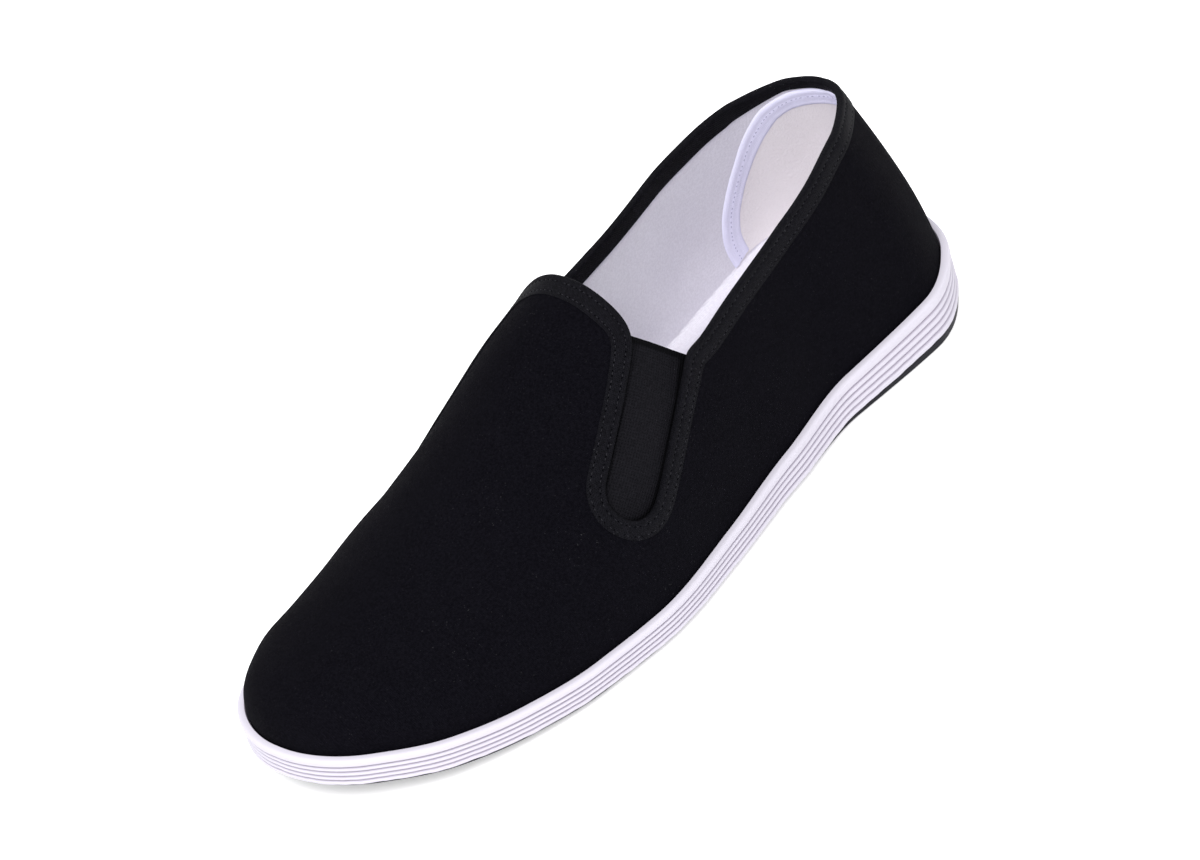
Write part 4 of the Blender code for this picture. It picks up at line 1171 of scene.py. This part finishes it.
def white_sole():
    """Rings of the profile, one over the other, closed by two caps. The lower edge is a little
    ragged: waves of the given counts and heights. The mask is painted shade: the depth in a groove,
    and set levels along the lower edge, over the top edge and down into the tray."""
    one = fold(RING_TURNS)[0]
    top, height, low = feather(one), foxing_height(one), foxing_bottom(one)
    ragged = sum(h * np.sin(n * RING_TURNS + n) for n, h in RAGGED)
    inner = FOXING_OUT - SOLE_RIM
    rings = [ring(inner, low + SOLE_RECESS), ring(inner, low), ring(FOXING_OUT - FOOT_ROUND, low + ragged)]
    # painted shade levels: none in the recess, then along the lower edge; the grooves and the top edge
    # follow
    shade_levels = [0.0, 0.6, 0.6]
    for v in np.linspace(0.0, 1.0, SIDE_LEVELS):
        edge = np.clip((1.0 - v) * height / TOP_ROUND, 0.0, 1.0)
        foot = np.clip(v * height / FOOT_ROUND, 0.0, 1.0)
        rounding = TOP_ROUND * (1.0 - np.sqrt(1.0 - (1.0 - edge) ** 2)) + FOOT_ROUND * (1.0 - foot) ** 2
        side, dips = side_profile(v)
        rings.append(ring(side - rounding, low + ragged * (1.0 - v) ** 3 + v * height))
        shade_levels.append(dips)
    rings += [ring(CLEARANCE + 0.2, top), ring(CLEARANCE, top - 0.3), ring(CLEARANCE, top - TRAY_DEPTH)]
    shade_levels += [0.3, 0.6, 0.6]
    count = len(rings)
    faces = cells(numbered(count, RING_CELLS, True))
    caps = [cap(0, RING_CELLS, False), cap((count - 1) * RING_CELLS, RING_CELLS, True)]
    mask = np.repeat(shade_levels, RING_CELLS)
    return build("white_sole", np.concatenate(rings), np.concatenate([faces, *caps]), WHITE_RUBBER,
                 mask=mask)

sole = white_sole()
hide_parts("midsole")

# %% [markdown]
# The insole and the black outsole share one way of drawing: rows across the sole from its outer
# edge to its inner edge. The first and last columns keep a set distance from the edge, so a rim
# can follow the outline, and the columns between them are spread evenly.

# %% Insole
ACROSS_CELLS = 120
ALONG_CELLS = 370
COVE = 2.7
COVE_WIDTH = 9.0
PRESSED = 0.8

def sole_grid(edge, insets, along=ALONG_CELLS, across=ACROSS_CELLS):
    """Plan points of the rows across the sole, and the inset of each column from the edge. The
    columns at the sides stand at the given insets inside the outline."""
    turns = np.linspace(0.0, np.pi, along + 1)
    left = [outline(turns, edge - inset) for inset in insets]
    right = [outline(2.0 * np.pi - turns, edge - inset) for inset in insets]
    share = np.linspace(0.0, 1.0, across + 1)[1:-1, None, None]
    middle = left[-1] + (right[-1] - left[-1]) * share
    points = np.stack([*left, *middle, *right[::-1]])
    inset = np.concatenate([insets, np.full(across - 1, insets[-1] + 1.0), insets[::-1]])
    return turns, points, inset

def on_plan(plan, heights):
    """Points of a plan with their heights."""
    return np.concatenate([plan, heights[..., None]], axis=-1)

def insole():
    """A sheet on the tray's floor, pressed a little thinner in the middle, whose edge runs up the
    lining in a round cove. Its mask grows away from the edge, so the colour is darker towards the
    middle of the floor."""
    insets = np.array([0.0, 0.1, 0.3, 0.6, 1.1, 1.8, 2.8, 4.2, 6.0, COVE_WIDTH])
    turns, plan, inset = sole_grid(-WALL - 0.02, insets, 200, 60)
    floor = feather(turns) - TRAY_DEPTH + CLEARANCE
    away = np.clip(inset / COVE_WIDTH, 0.0, 1.0)
    curl = COVE * (1.0 - np.sqrt(1.0 - (1.0 - away) ** 2))
    high = floor + INSOLE_THICKNESS - PRESSED + curl[:, None]
    low = np.broadcast_to(floor, high.shape)
    floor_share = np.broadcast_to(away[:, None], high.shape)
    return grid_shell("insole_sheet", on_plan(plan, high), on_plan(plan, low), LINING_COTTON,
                      plan * MM, True, mask=floor_share)

sheet = insole()
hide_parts("insole")

# %% [markdown]
# The tread is a height over the plan of the sole: zigzag lugs under the ball and the heel, a
# bar where the heel begins, and a smooth waist with an empty oval.

# %% Outsole
LUG_PITCH = 16.0
LUG_WIDTH = 6.6
ZIGZAG_WAVE = 27.0
ZIGZAG_DEPTH = 8.0
FOREFOOT_LUGS = 5
FOREFOOT_START = 0.215
HEEL_LUGS = 4
HEEL_BREAST = 0.715
BREAST_WIDTH = 4.0
RIM_WIDTH = 1.5
RIM_LIFT = 0.4
LUG_BEVEL = 0.5
HEEL_LUG_START = 0.95
PIP_RISE = 0.5
OUTSOLE_FLARE = 1.1
OVAL_WIDE = 13.0
OVAL_LONG = 7.0
OVAL_AHEAD = 13.0

def oval_place():
    """The middle of the bare oval along the length, ahead of the heel."""
    return (HEEL_BREAST - 0.5) * LAST_LENGTH - OVAL_AHEAD

def zigzag(x):
    """A triangle wave over the width: half the zigzag's depth towards the heel in the middle,
    and half towards the toe at half a wave to each side."""
    return (1.0 - 4.0 * np.abs(np.mod(x / ZIGZAG_WAVE + 0.5, 1.0) - 0.5)) * ZIGZAG_DEPTH / 2.0

def lug_places():
    toe = -LAST_LENGTH / 2.0
    breast = toe + HEEL_BREAST * LAST_LENGTH
    ball = toe + FOREFOOT_START * LAST_LENGTH + LUG_PITCH * np.arange(FOREFOOT_LUGS)
    return ball, breast, breast + LUG_PITCH * (np.arange(HEEL_LUGS) + HEEL_LUG_START)

def tread(x, y):
    """Height of the tread over its base as a share of its depth. A lug is where the distance to
    a zigzag line is under half its width, with sloping sides. Between the forefoot lugs the
    base is cut in facets that slope from one lug to the next."""
    ball, breast, heel = lug_places()
    wave = zigzag(x)
    height = np.zeros(x.shape)
    for middle in [*ball, *heel]:
        away = np.abs(y - middle - wave) - LUG_WIDTH / 2.0
        face = 1.0 - PIP_RISE / TREAD_DEPTH * (middle < 0.0)
        height = np.maximum(height, face * np.clip(0.5 - away / LUG_BEVEL, 0.0, 1.0))
    away = np.abs(y - breast) - BREAST_WIDTH / 2.0
    height = np.maximum(height, np.clip(0.5 - away / LUG_BEVEL, 0.0, 1.0))
    between = np.mod((y - wave - ball[0]) / LUG_PITCH, 1.0)
    inside = (y - wave > ball[0]) & (y - wave < ball[-1])
    height = np.maximum(height, inside * 0.5 * between)
    ring_away = np.abs(np.hypot(x / OVAL_WIDE, (y - oval_place()) / OVAL_LONG) - 1.0)
    return np.maximum(height, 0.35 * np.clip(1.0 - (ring_away * OVAL_LONG - 0.3) / 0.6, 0.0, 1.0))

def outsole():
    """The tread's height over the plan, inside a smooth raised rim that flares out under the
    lifted heel. Its upper side meets the white sole."""
    edge = FOXING_OUT - SOLE_RIM - CLEARANCE
    insets = np.array([0.0, 0.15, RIM_WIDTH - 0.3, RIM_WIDTH, RIM_WIDTH + 0.5, RIM_WIDTH + 1.0])
    turns, plan, inset = sole_grid(edge, insets)
    flare = OUTSOLE_FLARE * column("lift", turns)
    plan[:2] = [outline(turns, edge - inset[k] + flare) for k in (0, 1)]
    plan[-2:] = [outline(2.0 * np.pi - turns, edge - inset[k] + flare) for k in (1, 0)]
    run = ground(turns)
    rim_height = np.interp(inset, [0.0, 0.15, RIM_WIDTH, RIM_WIDTH + 0.5], [0.15, 0.0, 0.0, 1.0])
    base = RIM_LIFT + rim_height * (TREAD_DEPTH - RIM_LIFT)
    lugs = tread(plan[..., 0], plan[..., 1])
    inner = np.clip((inset - RIM_WIDTH - 0.6) / 0.4, 0.0, 1.0)[:, None]
    under = run + base[:, None] - lugs * inner * TREAD_DEPTH
    over = np.broadcast_to(foxing_bottom(turns) + 0.1, under.shape)
    return grid_shell("black_outsole", on_plan(plan, under), on_plan(plan, over), BLACK_RUBBER,
                      plan * MM, smooth_angle=30.0)

rubber = outsole()
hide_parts("outsole")

# %% [markdown]
# Stitches, pips and studs are many copies of one small form. The form is an array of points on
# three axes; each copy has its own middle and its own axes, so one product of arrays makes all.

# %% Small repeated forms
def ball_form(rows=5, columns=8):
    """A ball of radius one with its poles on the first axis."""
    polar = np.linspace(0.0, np.pi, rows)[:, None]
    around = np.linspace(0.0, 2.0 * np.pi, columns, endpoint=False)
    flat = np.ones(columns)
    parts = (np.cos(polar) * flat, np.sin(polar) * np.cos(around), np.sin(polar) * np.sin(around))
    return np.stack(parts, axis=-1).reshape(-1, 3), cells(numbered(rows, columns, True), True)

def wedge_form():
    """A stud on a square base: its top edge lies over the edge of the base on the first axis."""
    base = [(-1, -1, 0), (1, -1, 0), (1, 1, 0), (-1, 1, 0)]
    top = [(1, -0.2, 1), (1, 0.2, 1)]
    quads = [(0, 3, 2, 1), (1, 2, 5, 4), (0, 1, 4, 4), (2, 3, 5, 5), (0, 4, 5, 3)]
    return np.array(base + top, float), np.array(quads)

print("a ball has", len(ball_form()[0]), "points and a wedge", len(wedge_form()[0]))

def copies(name, form, middles, axes, half, material, smooth_angle=40.0):
    """One mesh of all copies: middle plus the form's points times the half sizes along the
    copy's three axes. A left-handed set of axes turns the faces over."""
    points, quads = form
    count = len(middles)
    half = np.broadcast_to(np.asarray(half, float), (count, 3))
    placed = middles[:, None, :] + sum(
        (half[:, None, k] * points[:, k])[..., None] * axes[k][:, None, :] for k in range(3)
    )
    hand = (np.cross(axes[0], axes[1]) * axes[2]).sum(-1).mean()
    quads = quads if hand > 0 else quads[:, ::-1]
    faces = quads[None] + (np.arange(count) * len(points))[:, None, None]
    piece = build(name, placed.reshape(-1, 3), faces.reshape(-1, 4), material, None, smooth_angle)

# %% [markdown]
# The tape is held by two rows of lockstitch, one near each edge. Each stitch is a short bead of
# thread that lies along the path, half sunk in the cloth. Between two beads a flat dark bead is
# painted shade in the needle's hole.

# %% Stitches of the tape
STITCH_PITCH = 2.1
STITCH_HALF = (0.50, 0.17, 0.12)
HOLE_SHADE_HALF = (0.30, 0.22, 0.08)
STITCH_SHARES = (0.27, 0.80)
STITCH_HEIGHTS = (0.22, 0.32)

def row_places(run, pitch, phase):
    """Path places at an even pitch: the numbers of the nearest samples."""
    wanted = np.arange(phase * pitch, run[-1] - 0.4 * pitch, pitch)
    return np.clip(np.searchsorted(run, wanted), 1, len(run) - 2)

def stitch_row(name, points, normal, run, pitch, half, material, phase=0.5):
    """Beads of thread along a line of points on the cloth. A fast sine of the number gives each
    bead a length of its own, from seven tenths up to the full one."""
    along = unit(np.gradient(points, axis=0))
    at = row_places(run, pitch, phase)
    side = unit(np.cross(normal[at], along[at]))
    axes = (along[at], side, unit(np.cross(along[at], side)))
    size = 0.85 + 0.15 * np.sin(np.arange(len(at)) * 12.9898)
    halves = np.asarray(half) * np.column_stack([size, np.ones_like(size), np.ones_like(size)])
    copies(name, ball_form(), points[at], axes, halves, material)

for number, (share, out) in enumerate(zip(STITCH_SHARES, STITCH_HEIGHTS)):
    line = EDGE.beside(share * OUTER_WIDTH, out)
    for kind, half, material, phase in (("stitches", STITCH_HALF, THREAD, 0.5),
                                        ("hole_shades", HOLE_SHADE_HALF, HOLE_SHADE, 1.0)):
        stitch_row(f"tape_{kind}_{number}", line, EDGE.normal, EDGE.run[:-1], STITCH_PITCH, half,
                   material, phase)

# %% [markdown]
# Inside the heel a soft panel stops the sock from slipping. White tape in the shape of a
# horseshoe covers its edge, from the floor on one side, over the heel, to the floor on the other.

# %% Heel panel and white tape
HEEL_TAPE_EDGE = np.array((
    # station and quarter (share of a right angle) of the tape's front edge, floor to heel
    (0.846, 0.004),
    (0.839, 0.100),
    (0.843, 0.164),
    (0.856, 0.239),
    (0.877, 0.326),
    (0.904, 0.414),
    (0.930, 0.478),
    (0.960, 0.512),
    (1.000, 0.530),
))
HEEL_TAPE_WIDTH = 8.2
HEEL_TAPE_THICKNESS = 0.5
HEEL_TAPE_SWELL = 0.12
HEEL_STITCH_SHARE = 0.42
HEEL_STITCH_PITCH = 1.9
HEEL_STITCH_HALF = (0.44, 0.20, 0.14)
PANEL_THICKNESS = 0.25

def read_rows(table, count):
    """Turn and quarter along a table of stations and shares of a right angle, as smooth curves
    over the row number."""
    rows = np.arange(len(table), dtype=float)
    at = np.linspace(0.0, rows[-1], count)
    turn = read_curve(rows, turn_of(table[:, 0]), at)
    return turn, read_curve(rows, table[:, 1], at) * np.pi / 2.0

def heel_path():
    """The tape's front edge over both sides, mirrored at the heel."""
    turn, quarter = read_rows(HEEL_TAPE_EDGE, 160)
    turn = np.concatenate([turn, 2.0 * np.pi - turn[-2::-1]])
    quarter = np.concatenate([quarter, quarter[-2::-1]])
    return even_path(turn, quarter, PATH_STEP)

HEEL = Path(*heel_path())

def heel_tape():
    """A strip on the lining whose profile is flat with rounded edges and swells a little."""
    share = np.linspace(0.0, 1.0, 13)
    edge = np.minimum(share, 1.0 - share) * 2.0
    thick = HEEL_TAPE_THICKNESS * np.clip(edge / 0.3, 0.0, 1.0) ** 0.5
    thick = thick + HEEL_TAPE_SWELL * np.sin(np.pi * share * 3.0) ** 2
    depths = share * HEEL_TAPE_WIDTH
    front = np.stack([HEEL.beside(d, INNER_FACE - 0.04 - t) for d, t in zip(depths, thick)])
    back = np.stack([HEEL.beside(d, INNER_FACE - 0.02) for d in depths])
    uv = np.stack(np.meshgrid(HEEL.run, depths), axis=-1) * MM
    piece = grid_shell("heel_tape", front, back, WHITE_TAPE, uv, False, 60.0)
    line = HEEL.beside(HEEL_STITCH_SHARE * HEEL_TAPE_WIDTH, INNER_FACE - HEEL_TAPE_THICKNESS - 0.10)
    stitch_row("heel_tape_stitches", line, HEEL.normal, HEEL.run, HEEL_STITCH_PITCH,
               HEEL_STITCH_HALF, WHITE_THREAD)

def heel_panel():
    """The panel fills the horseshoe: straight rows from the middle of the tape on one side to
    the same height on the other, round the back of the heel."""
    middle = int(round(0.5 * HEEL_TAPE_WIDTH / WALK_REACH * WALK_STEPS))
    turn, quarter = HEEL.rows[middle]
    half = len(turn) // 2
    left, right = np.arange(half - 1), len(turn) - 1 - np.arange(half - 1)
    share = np.linspace(0.0, 1.0, 81)
    rows_turn = turn[left][:, None] + (turn[right] - turn[left])[:, None] * share
    rows_quarter = quarter[left][:, None] + (quarter[right] - quarter[left])[:, None] * share
    front = skin(rows_turn, rows_quarter, INNER_FACE - PANEL_THICKNESS)
    back = skin(rows_turn, rows_quarter, INNER_FACE - 0.01)
    uv = np.stack([rows_turn * 45.0, rows_quarter * 60.0], axis=-1) * MM
    piece = grid_shell("heel_panel", front, back, GRIP_COTTON, uv, True, 60.0)

heel_tape()
heel_panel()

# %% [markdown]
# On the outside of the heel a faint dotted line shows where the stiffener is tacked.

# %% Counter stitches
COUNTER_PITCH = 2.4
COUNTER_HALF = (0.35, 0.13, 0.10)
COUNTER_LINE = np.array((
    (0.874, 0.350),
    (0.879, 0.326),
    (0.883, 0.274),
    (0.885, 0.233),
    (0.887, 0.199),
    (0.884, 0.120),
    (0.879, 0.042),
))

def counter_stitches(side):
    turn, quarter = read_rows(COUNTER_LINE, 80)
    quarter = own(quarter, side)
    points = skin(turn, quarter, 0.02)
    name = "counter_stitches_" + ("lateral" if side > 0 else "medial")
    stitch_row(name, points, last_normal(turn, quarter), run_along(points), COUNTER_PITCH,
               COUNTER_HALF, FAINT_THREAD)

for side in (1.0, -1.0):
    counter_stitches(side)

# %% [markdown]
# The forefoot lugs carry rows of small pips, and the toe is a field of little wedges. Both are
# laid on a regular pattern over the plan, and copies that fall outside the rim are left out.

# %% Pips and studs
PIP_ROWS = 4
PIP_PITCH = 1.75
STUD_PITCH = (3.4, 3.1)
STUD_HALF = (1.15, 1.25, 0.55)
FIELD_GAP = 9.5
PIP_HALF = (0.62, 0.5, PIP_RISE)
FIELD_SIDE = 62.0
UNDER_AXES = ((0.0, -1.0, 0.0), (1.0, 0.0, 0.0), (0.0, 0.0, -1.0))

def inside_rim(x, y, margin):
    """True where a plan point is at least a margin inside the outsole's edge."""
    turns = turn_of(np.clip(y / LAST_LENGTH + 0.5, 0.0, 1.0))
    inner = FOXING_OUT - SOLE_RIM - CLEARANCE - margin
    end = np.abs(y) < LAST_LENGTH / 2.0 + inner - 1.5
    offset = np.abs(np.sin(turns)) * -inner + (1.0 - np.abs(np.sin(turns))) * 6.0 * (np.abs(y) > 115.0)
    width = half_width(turns) - np.maximum(offset, -inner)
    return end & (np.abs(x - centre_side(turns)) < width)

def ground_at(y):
    return ground(turn_of(np.clip(y / LAST_LENGTH + 0.5, 0.0, 1.0)))

def on_tread(name, form, x, y, kept, height, half, axes=UNDER_AXES, smooth_angle=40.0):
    """Lays copies of a form on the tread at the plan points that are kept, at a height over the
    ground line. The axes are one set for all copies or a set for each, by default along the
    length, to the side and down."""
    x, y = x[kept], y[kept]
    axes = [np.broadcast_to(axis, (len(x), 3)) for axis in axes]
    middles = np.column_stack([x, y, ground_at(y) + height])
    copies(name, form, middles, axes, half, BLACK_RUBBER, smooth_angle)

def pips():
    """Rows of pips on the forefoot lugs, every second row shifted by half a pitch."""
    ball, _, _ = lug_places()
    rows = (np.arange(PIP_ROWS) - (PIP_ROWS - 1) / 2.0) * (LUG_WIDTH - 1.3) / (PIP_ROWS - 1)
    x = np.arange(-FIELD_SIDE, FIELD_SIDE, PIP_PITCH)
    x, row, lug = np.meshgrid(x, rows, ball, indexing="ij")
    x = x + np.mod(np.round(row / (rows[1] - rows[0]) + 0.5), 2) * PIP_PITCH / 2.0
    y = lug + row + zigzag(x)
    kept = inside_rim(x, y, RIM_WIDTH + 1.2)
    on_tread("lug_pips", ball_form(5, 6), x, y, kept, PIP_RISE, PIP_HALF)

def studs():
    """Wedges over the toe up to a gap before the first lug, in rows like bricks."""
    ball, _, _ = lug_places()
    x, y = np.meshgrid(np.arange(-FIELD_SIDE, FIELD_SIDE, STUD_PITCH[0]),
                       np.arange(-LAST_LENGTH / 2.0, ball[0], STUD_PITCH[1]))
    x = x + (np.arange(x.shape[0]) % 2)[:, None] * STUD_PITCH[0] / 2.0
    kept = inside_rim(x, y, RIM_WIDTH + 3.0) & (y < ball[0] + zigzag(x) - FIELD_GAP)
    on_tread("toe_studs", wedge_form(), x, y, kept, TREAD_DEPTH, STUD_HALF, smooth_angle=20.0)

pips()
studs()

# %% [markdown]
# Fine ridges fill the waist ahead of the oval and mark the corners of the zigzag, and the heel
# has pips of its own. Their rows follow from the places of the lugs.

# %% Fine lines and heel pips
HATCH_START = 11.0
HATCH_PITCH = 2.3
HATCH_LINES = 10
HATCH_LEAN = 42.0
HATCH_SIDES = (-14.5, 14.5)
HATCH_HALF = (17.0, 0.38, 0.22)
MITRE_HALF = ((LUG_PITCH - LUG_WIDTH) / 2.0, 0.45, 0.22)
HEEL_PIP_ROWS = 5
HEEL_PIP_HALF = (0.62, 0.55, 0.6)

def waist_lines():
    """Fine ridges ahead of the oval that slant to both sides of the middle, like a herringbone."""
    y, x = np.meshgrid(oval_place() - HATCH_START - HATCH_PITCH * np.arange(HATCH_LINES), HATCH_SIDES)
    y, x = y.ravel(), x.ravel()
    lean, down = np.radians(HATCH_LEAN), np.array([0.0, 0.0, -1.0])
    along = np.column_stack([np.sign(x) * np.cos(lean), -np.sin(lean) + 0.0 * x, 0.0 * x])
    on_tread("waist_lines", ball_form(9, 6), x, y, np.full(x.shape, True), TREAD_DEPTH, HATCH_HALF,
             (along, np.cross(down, along), down))

def mitre_lines():
    """A short ridge at each corner of the zigzag, from one forefoot lug to the next one."""
    ball, _, _ = lug_places()
    x, lug = np.meshgrid(np.arange(-3, 4) * ZIGZAG_WAVE / 2.0, ball[:-1])
    y = lug + LUG_PITCH / 2.0 + zigzag(x)
    slope = 0.5 * TREAD_DEPTH / LUG_PITCH
    along, down = unit(np.array([[0.0, 1.0, -slope], [0.0, -slope, -1.0]]))
    on_tread("mitre_lines", ball_form(9, 6), x, y, inside_rim(x, y, RIM_WIDTH + 3.0),
             0.75 * TREAD_DEPTH, MITRE_HALF, (along, np.cross(down, along), down))

def heel_pips():
    """Rows of pips between the heel's breast bar and its first lug."""
    _, breast, heel = lug_places()
    x, row = np.meshgrid(np.arange(-40.0, 40.0, PIP_PITCH), np.arange(HEEL_PIP_ROWS))
    y = breast + BREAST_WIDTH / 2.0 + 1.2 + row * PIP_PITCH
    x = x + row % 2 * PIP_PITCH / 2.0
    kept = inside_rim(x, y, RIM_WIDTH + 2.0) & (y < heel[0] - LUG_WIDTH / 2.0 + zigzag(x) - 0.8)
    on_tread("heel_pips", ball_form(5, 6), x, y, kept, TREAD_DEPTH, HEEL_PIP_HALF)

waist_lines()
mitre_lines()
heel_pips()
